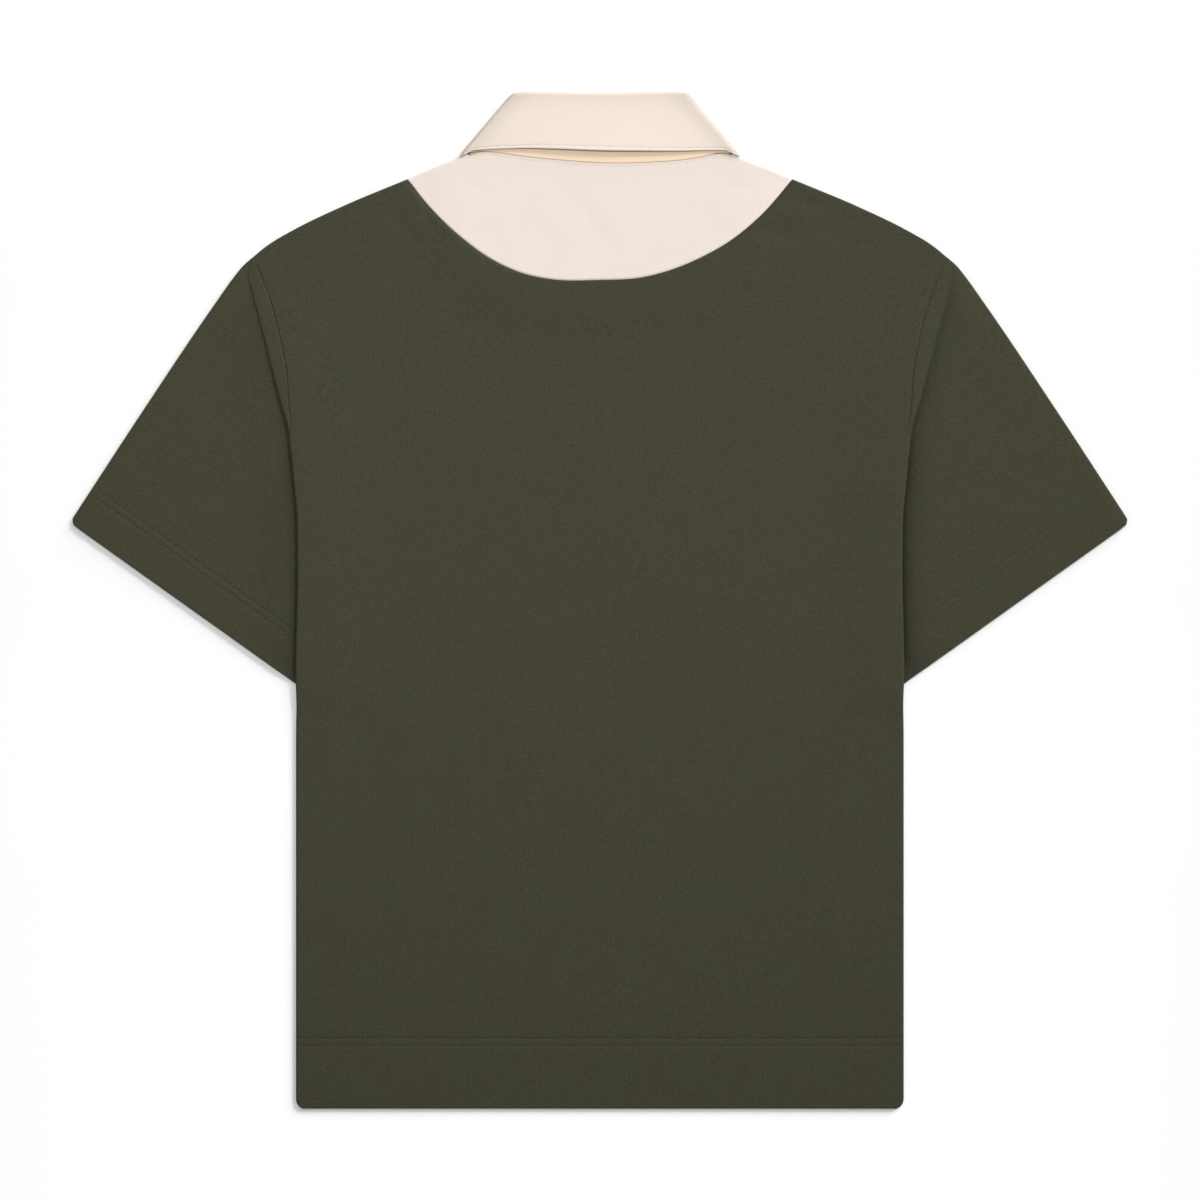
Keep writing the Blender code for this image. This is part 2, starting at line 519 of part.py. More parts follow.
for roll_x, roll_y, edge_x, edge_y, lift, neck_x in COLLAR_ROWS:
    neck_y = np.interp(neck_x, neck_line[:, 0], neck_line[:, 1])
    stations.append((np.array([roll_x, roll_y]), COLLAR_BACK_Z, np.array([edge_x, edge_y]),
                     np.array([neck_x, neck_y]), (0, 0, 1), ROLL_BACK, lift,
                     np.array([-0.35 * smooth((abs(roll_x) - 44) / 12) * np.sign(roll_x), 1.0])))
for roll, z, low, neck_point, out, half, lift, beyond in left_half[::-1]:
    flip = np.array([-1, 1])
    stations.append((roll * flip, z, low * flip, neck_point * flip, (-out[0], out[1], out[2]), half, lift,
                     beyond * flip))

fall, stand = [], []
for roll, z, low, neck_point, out, half, lift, beyond in stations:
    out, centre = np.array(out, float), np.array([*roll, z])
    beyond = np.array([*beyond, 0.0]) / np.linalg.norm(beyond)
    for rows, foot, side, short in ((fall, low, 1, 0.3), (stand, neck_point, -1, 0.8)):
        down = np.array([*(foot - roll), 0.0])
        turns = np.radians(90 - np.array([0, 26, 52, 77, 90])) - short / half * np.array([1, 0.6, 0.3, 0, 0])
        line = [centre + beyond * half * sin(a) + side * out * half * cos(a) for a in turns]
        for part in (0.08, 0.25, 0.5, 0.75, 0.92, 1.0):
            rise = lift * part ** 1.5 if side > 0 else 0.0
            line.append(centre + down * part + out * (side * half + rise))
        rows.append(line)
solid("collar_fall", np.array(fall), COLLAR_PLY, CREAM)
solid("collar_stand", np.array(stand), COLLAR_PLY, CREAM)

for shape in shirt.objects:
    for step in shape.modifiers:
        if step.type == "SOLIDIFY":
            step.use_rim, step.use_even_offset = True, False
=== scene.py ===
"""The looks of a short-sleeved rugby shirt that lies on its front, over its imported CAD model. Tables and
points are in millimetres from the middle of the shirt, +X to the right and +Y to the collar; meshes are in
metres."""

from math import cos, pi, radians, sin

import bpy
import numpy as np
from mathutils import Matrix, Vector
from mathutils.bvhtree import BVHTree


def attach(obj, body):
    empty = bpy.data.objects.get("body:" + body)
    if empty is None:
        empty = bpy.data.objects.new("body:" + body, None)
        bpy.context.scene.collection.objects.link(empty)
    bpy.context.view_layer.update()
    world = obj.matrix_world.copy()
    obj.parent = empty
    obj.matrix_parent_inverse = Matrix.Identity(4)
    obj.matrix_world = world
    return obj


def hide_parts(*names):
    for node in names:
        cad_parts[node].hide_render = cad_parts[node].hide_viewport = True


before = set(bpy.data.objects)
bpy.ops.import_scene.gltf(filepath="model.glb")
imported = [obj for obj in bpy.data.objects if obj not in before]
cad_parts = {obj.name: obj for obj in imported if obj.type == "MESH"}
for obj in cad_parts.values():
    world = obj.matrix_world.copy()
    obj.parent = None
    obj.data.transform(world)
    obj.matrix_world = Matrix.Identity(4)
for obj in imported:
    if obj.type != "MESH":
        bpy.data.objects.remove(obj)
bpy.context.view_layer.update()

# -----------------------------------------------------------------------------------------------------------
# Front panel: one ply of heavy cotton jersey, face down on the table. Its hem is turned up inside and sewn
# with two needles, its sides and shoulders bend up to meet the back, and it is slit for the placket.
MM = 0.001
HEM_Y = -381.2
HEM_DEPTH = 53.0
HEM_LINES = (HEM_Y + 52.4, HEM_Y + 47.1)  # its two rows of stitches
HEM_CORNER = 7.0  # rounding of the hem's corners in plan
JERSEY = 1.2  # thickness
DOUBLED = 1.95  # thickness where the cloth is turned up
SEAM_GAP = 0.2  # between the pieces at a sewn seam
SEAM_DROP = 0.4  # straight on from a bent edge to its seam
SEAM_EASE = 16.0  # a seam is drawn to the bent edge at its end over this length
SEAM_LEAN = 0.295  # slant of the yoke's seam from square to the shoulder
SEAM_SINK = 0.75  # depth of the groove along an open seam
OUTER_Z = 4.2  # upper face where the shirt is two plies thick
EDGE_R = (OUTER_Z - JERSEY) / 2 - SEAM_DROP  # of the bends that take both panels half-way to each other
FLAT_RIM = 3.0  # flat cloth before a bend
PLEAT_R = 1.0  # of the bends at the body's edge over the sleeve
PLEAT_BEND = 1.3  # their least length
PLEAT_RISE = 1.9  # of the body's edge there
SIDE_EASE = 60.0  # the panel comes up to that edge over this length
NECK_LIFT = 1.8  # of what lies over the collar's leaves
NECK_Y, NECK_HALF = 335.0, 105.0  # the collar's middle and half its width
PLACKET_HALF = 16.0
PLACKET_Y = (90.0, 250.6)
SPACING = 4.6  # of the points on the cloth
STITCH_SINK, STITCH_REACH = 0.34, 0.6  # groove along a line of stitches: its depth and half its width
STITCH_PITCH = 3.0
THREAD = 0.5
SEAM_PAINTED_SHADE = 0.55  # painted shade on the cloth in an open seam, as if its groove were shaded
WALE, COURSE = 0.95, 0.75  # width and height of a knitted stitch
RIB, YARN = 0.80, 0.45  # pitch of the twill's ribs and of its yarns

# The body's side, left of the middle: y, fold, top, turn, under, front_turn. fold: to the visible edge. top:
# upper face. turn: of the back over the edge. under: straight on to the seam. front_turn: of the front.
SIDE_ROWS = (
    (-381.2, 228.0, 4.2, 90, 0.4, 90),
    (-165.0, 228.0, 4.2, 90, 0.4, 90),
    (-105.0, 228.0, 4.2, 90, 0.4, 90),
    (-88.0, 227.8, 4.4, 90, 0.4, 90),
    (-79.0, 227.6, 5.2, 100, 0.4, 55),
    (-71.5, 227.7, 5.9, 112, 0.3, 0),
    (-62.0, 228.1, 6.1, 115, 0.2, 0),
    (-50.0, 228.3, 6.1, 115, 0.2, 0),
)

# The left armhole, from the underarm up: y, fold, seam, top, turn, tuck. seam: where the panel ends, along
# the cloth from the start of its bend. turn: each of the two bends down to the sleeve. tuck: between them.
ARMHOLE_ROWS = (
    (-62.0, 228.1, 2.2, 6.1, 115, 0.6),
    (-50.0, 228.3, 2.2, 6.1, 115, 0.6),
    (-16.0, 227.6, 2.3, 6.1, 115, 0.6),
    (20.0, 226.9, 2.3, 6.1, 115, 0.6),
    (60.0, 227.3, 2.3, 6.1, 115, 0.6),
    (94.0, 230.3, 2.3, 6.1, 115, 0.6),
    (112.0, 232.0, 1.9, 6.1, 115, 0.6),
    (120.0, 233.0, 0.9, 6.1, 115, 0.6),
    (128.0, 234.0, -0.8, 6.1, 115, 0.6),
    (150.0, 240.0, -4.9, 5.9, 102, 0.5),
    (173.0, 246.0, -9.3, 5.6, 88, 0.3),
    (195.0, 251.6, -10.8, 5.2, 76, 0.2),
    (212.0, 256.0, -11.1, 4.9, 66, 0.0),
    (224.0, 259.4, -11.0, 4.7, 56, 0.0),
    (235.0, 262.2, -9.8, 4.5, 42, 0.0),
    (243.0, 264.0, -8.0, 4.5, 35, 0.0),
    (249.5, 264.4, -6.2, 4.3, 20, 0.0),
)
FRONT_ARMHOLE = (
    (-220.75, -56.0), (-222.5, -49.0), (-223.2, -38.0), (-223.4, -20.0), (-223.6, 0.0), (-224.2, 60.0),
    (-226.5, 120.0), (-232.0, 172.0), (-243.0, 216.0), (-258.4, 253.0),
)
SHOULDER_TIP = (-260.6, 257.4)
SHOULDER = (SHOULDER_TIP, (-248.6, 266.9), (-229.9, 277.9), (-191.6, 296.3), (-144.6, 315.9))
FRONT_YOKE_SEAM = (
    (-144.6, 315.9), (-131.0, 285.0), (-110.0, 254.0), (-85.0, 229.0), (-58.0, 209.0), (-30.0, 197.0),
    (0.0, 193.0), (30.0, 197.0), (58.0, 209.0), (85.0, 229.0), (110.0, 254.0), (131.0, 285.0), (144.6, 315.9),
)


def smooth(t):
    t = np.clip(t, 0.0, 1.0)
    return t * t * (3.0 - 2.0 * t)


def unit(way):
    return way / np.linalg.norm(way, axis=-1, keepdims=True)


def run_along(points):
    """Length of a line of points up to each of them."""
    return np.concatenate([[0], np.cumsum(np.linalg.norm(np.diff(points, axis=0), axis=1))])


def sample(points, run, at):
    """A line's points at these values of run, which grows along it."""
    return np.stack([np.interp(at, run, column) for column in points.T], axis=-1)


def curve_from(p, q, p_slope, q_slope, h, t):
    """Points at shares t of the way from p to q, on a cubic of length h with these slopes at its ends."""
    return ((1 + 2 * t) * (1 - t) ** 2 * p + t * (1 - t) ** 2 * h * p_slope
            + t * t * (3 - 2 * t) * q + t * t * (t - 1) * h * q_slope)


def between(table, at):
    """The other columns of a table at these values of its first, on curves that don't overshoot its rows."""
    t = np.array(table, float)
    x, f = t[:, 0], t[:, 1:]
    step = np.diff(x)[:, None]
    rise = np.diff(f, axis=0) / step
    agree = rise[:-1] * rise[1:] > 0
    both = np.where(agree, rise[:-1] + rise[1:], 1)
    slope = np.vstack([rise[:1], np.where(agree, 2 * rise[:-1] * rise[1:] / both, 0), rise[-1:]])
    k = np.clip(np.searchsorted(x, at, side="right") - 1, 0, len(x) - 2)
    share = (np.asarray(at)[:, None] - x[k][:, None]) / step[k]
    return curve_from(f[k], f[k + 1], slope[k], slope[k + 1], step[k], share)


def along(points, share):
    """Points at these shares of the length of a smooth curve through the given ones."""
    p = np.array(points, float)
    step = np.linalg.norm(np.diff(p[:, :2], axis=0), axis=1)[:, None]
    rise = np.diff(p, axis=0) / step
    middle = (rise[:-1] * step[1:] + rise[1:] * step[:-1]) / (step[1:] + step[:-1])
    slope = np.vstack([rise[:1], middle, rise[-1:]])
    t = np.linspace(0, 1, 24)[1:, None]
    curve = np.vstack([p[:1]] + [curve_from(p[k], p[k + 1], slope[k], slope[k + 1], h, t)
                                 for k, h in enumerate(step)])
    run = run_along(curve)
    return sample(curve, run, np.asarray(share) * run[-1])


def beside(curve, offset):
    """The curve moved sideways in plan, to its left by offset."""
    d = np.gradient(curve, axis=0)
    return curve + np.asarray(offset).reshape(-1, 1) * unit(np.stack([-d[:, 1], d[:, 0]], axis=1))


def seam_between(seam, offset, count, start, end):
    """The seam's curve moved sideways by offset, and drawn to a start and an end that lie just beside it."""
    curve = beside(along(seam, np.linspace(0, 1, 1200)), offset)
    first, last = (int(np.argmin(np.linalg.norm(curve - point, axis=1))) for point in (start, end))
    curve = curve[first:last + 1]
    shares = np.linspace(0, 1, len(curve))[:, None]
    run = shares * np.linalg.norm(np.diff(curve, axis=0), axis=1).sum()
    near_start, near_end = 1 - smooth(run / SEAM_EASE), 1 - smooth((run[-1] - run) / SEAM_EASE)
    curve = curve + (start - curve[0]) * near_start + (end - curve[-1]) * near_end
    return sample(curve, np.arange(len(curve)), np.linspace(0, len(curve) - 1, count))


def patch(bottom, top, left, right, start=0):
    """Rows of points from bottom to top between four curves in plan. Up to start they are like the bottom."""
    u = np.linspace(0, 1, len(bottom))[None, :, None]
    run = run_along(left)
    v = (np.clip(run - run[start], 0, None) / (run[-1] - run[start]))[:, None, None]
    across = (1 - u) * left[:, None] + u * right[:, None]
    upward = (1 - v) * bottom[None] + v * top[None]
    low_corners = (1 - u) * (1 - v) * bottom[0] + u * (1 - v) * bottom[-1]
    return across + upward - (low_corners + (1 - u) * v * top[0] + u * v * top[-1])


def neck_lift(x, y):
    """Height that the collar's leaves add to whatever lies over them."""
    far = (np.abs(x / NECK_HALF) ** 3 + np.abs((y - NECK_Y) / NECK_HALF) ** 3) ** (1 / 3)
    return NECK_LIFT * smooth((1.40 - far) / 0.38)


def creases(table, x, y):
    """Soft ridges, and troughs where rise is below 0, each along a straight line and fading at its ends."""
    total = np.zeros_like(x)
    for x0, y0, x1, y1, width, rise in table:
        way = np.array([x1 - x0, y1 - y0], float)
        length = np.hypot(*way)
        way = way / length
        on = (x - x0) * way[0] + (y - y0) * way[1]
        off = (x - x0) * way[1] - (y - y0) * way[0]
        fade = smooth(on / (0.4 * length)) * smooth((length - on) / (0.4 * length))
        total += rise * fade * np.exp(-(off / width) ** 2)
    return total


class Edge:
    """Cloth going over an edge: flat, a bend down by turn (up, if the radius is negative), straight for tuck,
    and the same bend back."""

    def __init__(self, point, outward, z, radius, turn, tuck=0.0):
        self.point, self.z, self.turn, self.tuck = np.array(point, float), z, radians(turn), tuck
        self.r, self.way = abs(radius), 1.0 if radius > 0 else -1.0
        self.out = np.array(outward, float)
        self.bend = self.r * self.turn

    def at(self, s):
        r, turn = self.r, self.turn
        if s <= 0:
            step, drop = s, 0.0
        elif s <= self.bend:
            step, drop = r * sin(s / r), r * (1 - cos(s / r))
        else:
            flat = min(s - self.bend, self.tuck)
            back = min(max(s - self.bend - self.tuck, 0.0), self.bend) / r
            rest = max(s - 2 * self.bend - self.tuck, 0.0)
            step = r * sin(turn) + flat * cos(turn) + r * (sin(turn) - sin(turn - back)) + rest
            drop = r * (1 - cos(turn)) + flat * sin(turn) + r * (cos(turn - back) - cos(turn))
        return np.array([*(self.point + self.out * step), self.z - self.way * drop])

    def run(self, start, end, seam=0.0, sink=0.0):
        """Points on the cloth from start to end. Each stays in its own bend, or is drawn in to an end. The
        cloth dips by sink at the seam."""
        again = self.bend + self.tuck
        near = min(max(-start / 4, 0.05), 1.0)
        bends = self.bend * np.arange(1, 6) / 5
        places = [start, *(start + near * np.array([0.3, 0.7, 1.2, 2.2])), (start + min(end, 0)) / 2, 0,
                  *bends, again, *(again + bends), end]
        last = len(places) - 1
        least = 0.05 if end > 0 else (end - start) / last
        s = []
        for k, place in enumerate(places):
            lowest = s[-1] + least if s else start
            s.append(min(max(place, lowest), end - least * (last - k)))
        points = np.array([self.at(k) for k in s])
        points[:, 2] -= sink * np.exp(-((np.array(s) - seam) / 0.5) ** 2)
        return points


def cloth(name, grid, ply, mirrored=False, closed=False, grain=0.0, shade=0.0):
    """A wall of cloth as a closed mesh, on a grid of points in its middle. ply is its thickness, grain the
    angle of its wales from +Y, in degrees, and shade the painted shade that darkens its colour in folds,
    seams and at rounded edges."""
    ply, shade = (np.broadcast_to(values, grid.shape[:2]) for values in (ply, shade))
    if mirrored:
        grid, grain, ply, shade = grid[:, ::-1] * (-1, 1, 1), -grain, ply[:, ::-1], shade[:, ::-1]
    rows, columns = grid.shape[:2]
    if closed:
        wide = np.concatenate([grid[:, -1:], grid, grid[:, :1]], axis=1)
        across = np.gradient(wide, axis=1)[:, 1:-1]
    else:
        across = np.gradient(grid, axis=1)
    normal = unit(np.cross(across, np.gradient(grid, axis=0)))
    outer, inner = (grid + side * normal * ply[..., None] / 2 for side in (1, -1))
    a = np.arange(rows * columns).reshape(rows, columns)
    if closed:
        a = np.concatenate([a, a[:, :1]], axis=1)
    b = a + rows * columns
    quads = np.stack([a[:-1, :-1], a[:-1, 1:], a[1:, 1:], a[1:, :-1]], axis=-1).reshape(-1, 4)
    faces = [quads, quads[:, ::-1] + rows * columns,
             np.stack([b[0, :-1], b[0, 1:], a[0, 1:], a[0, :-1]], axis=-1),
             np.stack([b[-1, 1:], b[-1, :-1], a[-1, :-1], a[-1, 1:]], axis=-1)]
    if not closed:
        faces += [np.stack([b[1:, 0], b[:-1, 0], a[:-1, 0], a[1:, 0]], axis=-1),
                  np.stack([b[:-1, -1], b[1:, -1], a[1:, -1], a[:-1, -1]], axis=-1)]
    faces = np.concatenate(faces)
    points = np.concatenate([outer.reshape(-1, 3), inner.reshape(-1, 3)]) * MM
    mesh = bpy.data.meshes.new(name)
    mesh.from_pydata(points.tolist(), [], faces.tolist())
    turn = radians(grain)
    plan = np.stack([points[:, 0] * cos(turn) + points[:, 1] * sin(turn),
                     points[:, 1] * cos(turn) - points[:, 0] * sin(turn)], axis=1)
    uv = mesh.uv_layers.new(name="cloth")
    uv.data.foreach_set("uv", (plan[faces.reshape(-1)] + 0.5).reshape(-1))
    mesh.attributes.new("shade", "FLOAT", "POINT").data.foreach_set("value", np.tile(shade.reshape(-1), 2))
    piece = bpy.data.objects.new(name, mesh)
    bpy.context.scene.collection.objects.link(piece)
    mesh.shade_smooth()
    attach(piece, "root")
    return piece


def dress(piece, material, node):
    """Gives a finished piece its cloth and its node's place."""
    piece.data.materials.append(material)
    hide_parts(node)


def new_material(name, roughness):
    """A material with its nodes, links and surface."""
    material = bpy.data.materials.new(name)
    material.use_nodes = True
    nodes, links = material.node_tree.nodes, material.node_tree.links
    surface = nodes["Principled BSDF"]
    surface.inputs["Roughness"].default_value = roughness
    return material, nodes, links, surface


def cotton(name, colour, tone, warm, twill=False):
    """Matt cotton, a little uneven in its colour, and darkened by painted shade where the mesh's shade
    attribute says: jersey with its rows of small V-shaped stitches, or twill with its fine slanting ribs."""
    material, nodes, links, surface = new_material(name, 0.92)
    surface.inputs["Specular IOR Level"].default_value = 0.16
    surface.inputs["Sheen Weight"].default_value = 0.03
    surface.inputs["Sheen Roughness"].default_value = 0.5

    def maths(operation, *values):
        node = nodes.new("ShaderNodeMath")
        node.operation = operation
        for k, value in enumerate(values):
            if isinstance(value, (int, float)):
                node.inputs[k].default_value = value
            else:
                links.new(value, node.inputs[k])
        return node.outputs[0]

    def noise(scale, detail):
        node = nodes.new("ShaderNodeTexNoise")
        node.inputs["Scale"].default_value = scale
        node.inputs["Detail"].default_value = detail
        links.new(place.outputs["Object"], node.inputs["Vector"])
        return node.outputs["Fac"]

    def stretch(value, low, high):
        node = nodes.new("ShaderNodeMapRange")
        node.inputs["From Min"].default_value = low
        node.inputs["From Max"].default_value = high
        links.new(value, node.inputs["Value"])
        return node.outputs["Result"]

    def mixed(factor, second, blend="MIX"):  # its first side is left open
        node = nodes.new("ShaderNodeMix")
        node.data_type = "RGBA"
        node.blend_type = blend
        node.inputs["B"].default_value = (*second, 1)
        links.new(factor, node.inputs["Factor"])
        return node.inputs["A"], node.outputs["Result"]

    uv = nodes.new("ShaderNodeUVMap")
    uv.uv_map = "cloth"
    on_cloth = nodes.new("ShaderNodeSeparateXYZ")
    links.new(uv.outputs[0], on_cloth.inputs[0])
    across, up = on_cloth.outputs[0], on_cloth.outputs[1]
    if twill:
        slant = maths("ADD", maths("MULTIPLY", across, 0.80), maths("MULTIPLY", up, 0.60))
        rib = maths("SINE", maths("MULTIPLY", slant, 2 * pi / (RIB * MM)))
        yarn = maths("SINE", maths("MULTIPLY", up, 2 * pi / (YARN * MM)))
        weave = maths("ADD", maths("MULTIPLY", rib, 0.36), maths("ADD", maths("MULTIPLY", yarn, 0.14), 0.5))
    else:
        wale = maths("MULTIPLY", across, 1 / (WALE * MM))
        course = maths("MULTIPLY", up, 1 / (COURSE * MM))
        leg = maths("ABSOLUTE", maths("SUBTRACT", maths("FRACT", wale), 0.5))
        vee = maths("SINE", maths("MULTIPLY", maths("ADD", course, leg), 2 * pi))
        groove = maths("SINE", maths("MULTIPLY", leg, pi))
        weave = maths("MULTIPLY", maths("ADD", maths("MULTIPLY", vee, 0.35), 0.65), groove)

    place = nodes.new("ShaderNodeTexCoord")
    blotches, specks = noise(34.0, 3.0), noise(520.0, 2.0)
    fine = maths("ADD", maths("MULTIPLY", specks, 0.75), maths("MULTIPLY", weave, 0.25))
    dark_side, yarns = mixed(stretch(fine, 0.3, 0.7), [c / tone for c in colour])
    dark_side.default_value = (*[c * tone for c in colour], 1)
    plain_side, warmed = mixed(stretch(blotches, 0.35, 0.65), warm, "MULTIPLY")
    links.new(yarns, plain_side)
    # Painted shade: the mesh's shade attribute mixes the colour toward black.
    depth = nodes.new("ShaderNodeAttribute")
    depth.attribute_name = "shade"
    lit_side, shaded = mixed(depth.outputs["Fac"], (0, 0, 0))
    links.new(warmed, lit_side)
    links.new(shaded, surface.inputs["Base Color"])
    bump = nodes.new("ShaderNodeBump")
    bump.inputs["Strength"].default_value = 0.5
    bump.inputs["Distance"].default_value = 0.00016
    links.new(maths("ADD", weave, maths("MULTIPLY", specks, 0.6)), bump.inputs["Height"])
    links.new(bump.outputs["Normal"], surface.inputs["Normal"])
    return material


def colour_by(value, tones, nodes, links, surface):
    """Colours the surface by a value. tones are pairs of a share from 0 to 1 and the colour there."""
    ramp = nodes.new("ShaderNodeValToRGB")
    colours = ramp.color_ramp.elements
    colours[0].color, colours[1].color = (*tones[0][1], 1), (*tones[-1][1], 1)
    for share, tone in tones[1:-1]:
        colours.new(share).color = (*tone, 1)
    links.new(value, ramp.inputs["Fac"])
    links.new(ramp.outputs["Color"], surface.inputs["Base Color"])


def sewing_thread(name, dark, light, roughness, uneven):
    """Twisted thread, dark and light along its strands."""
    material, nodes, links, surface = new_material(name, roughness)
    strands = nodes.new("ShaderNodeTexWave")
    strands.inputs["Scale"].default_value = 900.0
    strands.inputs["Distortion"].default_value = uneven
    strands.bands_direction = "DIAGONAL"
    links.new(nodes.new("ShaderNodeTexCoord").outputs["Object"], strands.inputs["Vector"])
    colour_by(strands.outputs["Fac"], ((0, dark), (1, light)), nodes, links, surface)
    return material


def row_of_stitches(name, piece, path, material, from_above=True):
    """A seam's stitches, each a short strand of thread lying on the piece along a path in plan."""
    tree = BVHTree.FromObject(piece, bpy.context.evaluated_depsgraph_get())
    path = np.array(path, float)
    run = run_along(path)
    way = Vector((0, 0, -1 if from_above else 1))
    up = -way
    rise = 0.1 if from_above else -0.3  # of a strand's middle from the cloth, in widths of the thread
    points, faces = [], []
    for k in range(int(run[-1] / STITCH_PITCH)):
        ends = []
        for s in ((k + 0.1) * STITCH_PITCH, (k + 0.9) * STITCH_PITCH):
            x, y = (np.interp(s, run, path[:, c]) * MM for c in (0, 1))
            ends.append(tree.ray_cast(Vector((x, y, -0.05 * way.z)), way)[0])
        if None in ends:
            continue
        middle, along_it = (ends[0] + ends[1]) / 2, ends[1] - ends[0]
        side = along_it.cross(up).normalized()
        first = len(points)
        for part in np.linspace(-0.5, 0.5, 5):
            thick = (1 - (2 * part) ** 4) ** 0.5 * 0.9 + 0.1
            sink = 0.28 * (2 * part) ** 4
            centre = middle + along_it * part + up * (rise - sink) * THREAD * MM
            for turn in range(6):
                a = turn * pi / 3
                points.append(centre + (side * cos(a) * 0.5 + up * sin(a) * 0.42) * THREAD * thick * MM)
        for part in range(4):
            for turn in range(6):
                a, b = first + part * 6 + turn, first + part * 6 + (turn + 1) % 6
                faces.append((a, b, b + 6, a + 6))
        faces.append(tuple(range(first + 5, first - 1, -1)))
        faces.append(tuple(range(first + 24, first + 30)))
    mesh = bpy.data.meshes.new(name)
    mesh.from_pydata([tuple(p) for p in points], [], faces)
    mesh.materials.append(material)
    stitches = bpy.data.objects.new(name, mesh)
    bpy.context.scene.collection.objects.link(stitches)
    mesh.shade_smooth()
    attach(stitches, "root")
    return stitches


def stitch_groove(off):
    """Depth in the cloth at a distance off from a line of stitches."""
    return STITCH_SINK * np.exp(-(off / STITCH_REACH) ** 2)


def seam_shade(run, sink):
    """Painted shade: cloth darkened at the end of a run that meets an open seam, as if its groove were in
    shade.
    """
    return SEAM_PAINTED_SHADE * np.exp(-(np.linalg.norm(run - run[-1], axis=1) / 0.5) ** 2) * sink / SEAM_SINK


def rounded(depth, reach=DOUBLED / 2, least=0.03, blunt=0.02):
    """Share of the thickness at a distance in from a folded edge, which is round over reach."""
    return np.sqrt(np.clip(1 - (1 - np.clip((depth + blunt) / reach, 0, 1)) ** 2, least, 1))


def shoulder_edges(points, share, lean):
    """The two panels' edges along the shoulder, back then front, both bent to the seam half-way between them.
    lean is how far the rows slant along the edge, for each share."""
    rim = along(points, share)
    edges = []
    for (x, y), way, slant in zip(rim, unit(np.gradient(rim, axis=0)), lean):
        out = np.array([-way[1], way[0]]) - slant * way
        inner = np.array([x, y]) - out * (EDGE_R + JERSEY / 2)
        lift = neck_lift(*inner)
        edges.append((Edge(inner, out, OUTER_Z - JERSEY / 2 + lift, EDGE_R, 90, SEAM_DROP),
                      Edge(inner, out, JERSEY / 2 + lift, -EDGE_R, 90, SEAM_DROP)))
    return edges


def front_cut(y):
    """Where the front panel's edge is at the left armhole."""
    return np.interp(y, front_armhole[:, 1], front_armhole[:, 0])


half_gap = SEAM_GAP / 2
hem_rows = HEM_Y + np.array([0.0, 0.1, 0.35, 0.7, 1.2, 2.2, 3.6, 5.2, 7.2])
line_rows = np.concatenate([line + np.array([-1.2, -0.6, 0.0, 0.6, 1.2]) for line in HEM_LINES[::-1]])
side_y = np.concatenate([hem_rows, np.arange(HEM_Y + 11, HEM_LINES[1] - 3, SPACING), line_rows,
                         np.arange(HEM_LINES[0] + 4, -58, SPACING)])
armhole_y = np.arange(-54.0, 249.5, SPACING)
shoulder_shares = np.linspace(0.0, 0.9995, 24)
shoulder_lean = SEAM_LEAN * smooth((shoulder_shares - 0.6) / 0.4)

front_runs, back_runs, tops = [], [], []
into_corner = np.clip(HEM_Y + HEM_CORNER - side_y, 0, HEM_CORNER * 0.985)
inset = HEM_CORNER - np.sqrt(HEM_CORNER ** 2 - into_corner ** 2)
for y, (fold, top, turn, under, front_turn), corner in zip(side_y, between(SIDE_ROWS, side_y), inset):
    pleated = smooth((top - OUTER_Z) / PLEAT_RISE)
    radius = EDGE_R * (1 - pleated) + PLEAT_R * pleated
    edge = Edge((-(fold - corner - JERSEY / 2 - radius), y), (-1, 0), top - JERSEY / 2, radius, turn, under)
    back_runs.append(edge.run(-FLAT_RIM, edge.bend + under - half_gap))
    bent = front_turn / 90
    inner = -bent * (fold - corner - JERSEY / 2 - EDGE_R) + (1 - bent) * (FRONT_ARMHOLE[0][0] + half_gap)
    front = Edge((inner, y), (-1, 0), JERSEY / 2, -EDGE_R, max(front_turn, 1), SEAM_DROP * bent)
    front_runs.append(front.run(-FLAT_RIM, front.bend + (SEAM_DROP - half_gap) * bent))
    tops.append(top)

armhole_edges = []
front_armhole = along(FRONT_ARMHOLE, np.linspace(0, 1, 200))
for y, (fold, seam, top, turn, tuck) in zip(armhole_y, between(ARMHOLE_ROWS, armhole_y)):
    radius = max(PLEAT_R, PLEAT_BEND / radians(turn))
    start = (-(fold - JERSEY / 2 - radius * sin(radians(min(turn, 90)))), y)
    edge = Edge(start, (-1, 0), top - JERSEY / 2, radius, turn, tuck)
    sink = SEAM_SINK * smooth(-seam / 3)
    armhole_edges.append((edge, seam + half_gap, sink))
    back_runs.append(edge.run(min(seam, 0.0) - FLAT_RIM, seam - half_gap, seam, sink))
    flat = np.linspace(FLAT_RIM, 0.0, len(back_runs[-1]))
    front_runs.append(np.array([[front_cut(y) + half_gap + s, y, JERSEY / 2] for s in flat]))
    tops.append(top)

for k, (back, front) in enumerate(shoulder_edges(SHOULDER, shoulder_shares, shoulder_lean)):
    end = back.bend + SEAM_DROP - (half_gap if k else SEAM_DROP)
    back_runs.append(back.run(-FLAT_RIM, end))
    front_runs.append(front.run(-FLAT_RIM, end))
    tops.append(OUTER_Z)
front_runs, back_runs, tops = np.array(front_runs), np.array(back_runs), np.array(tops)


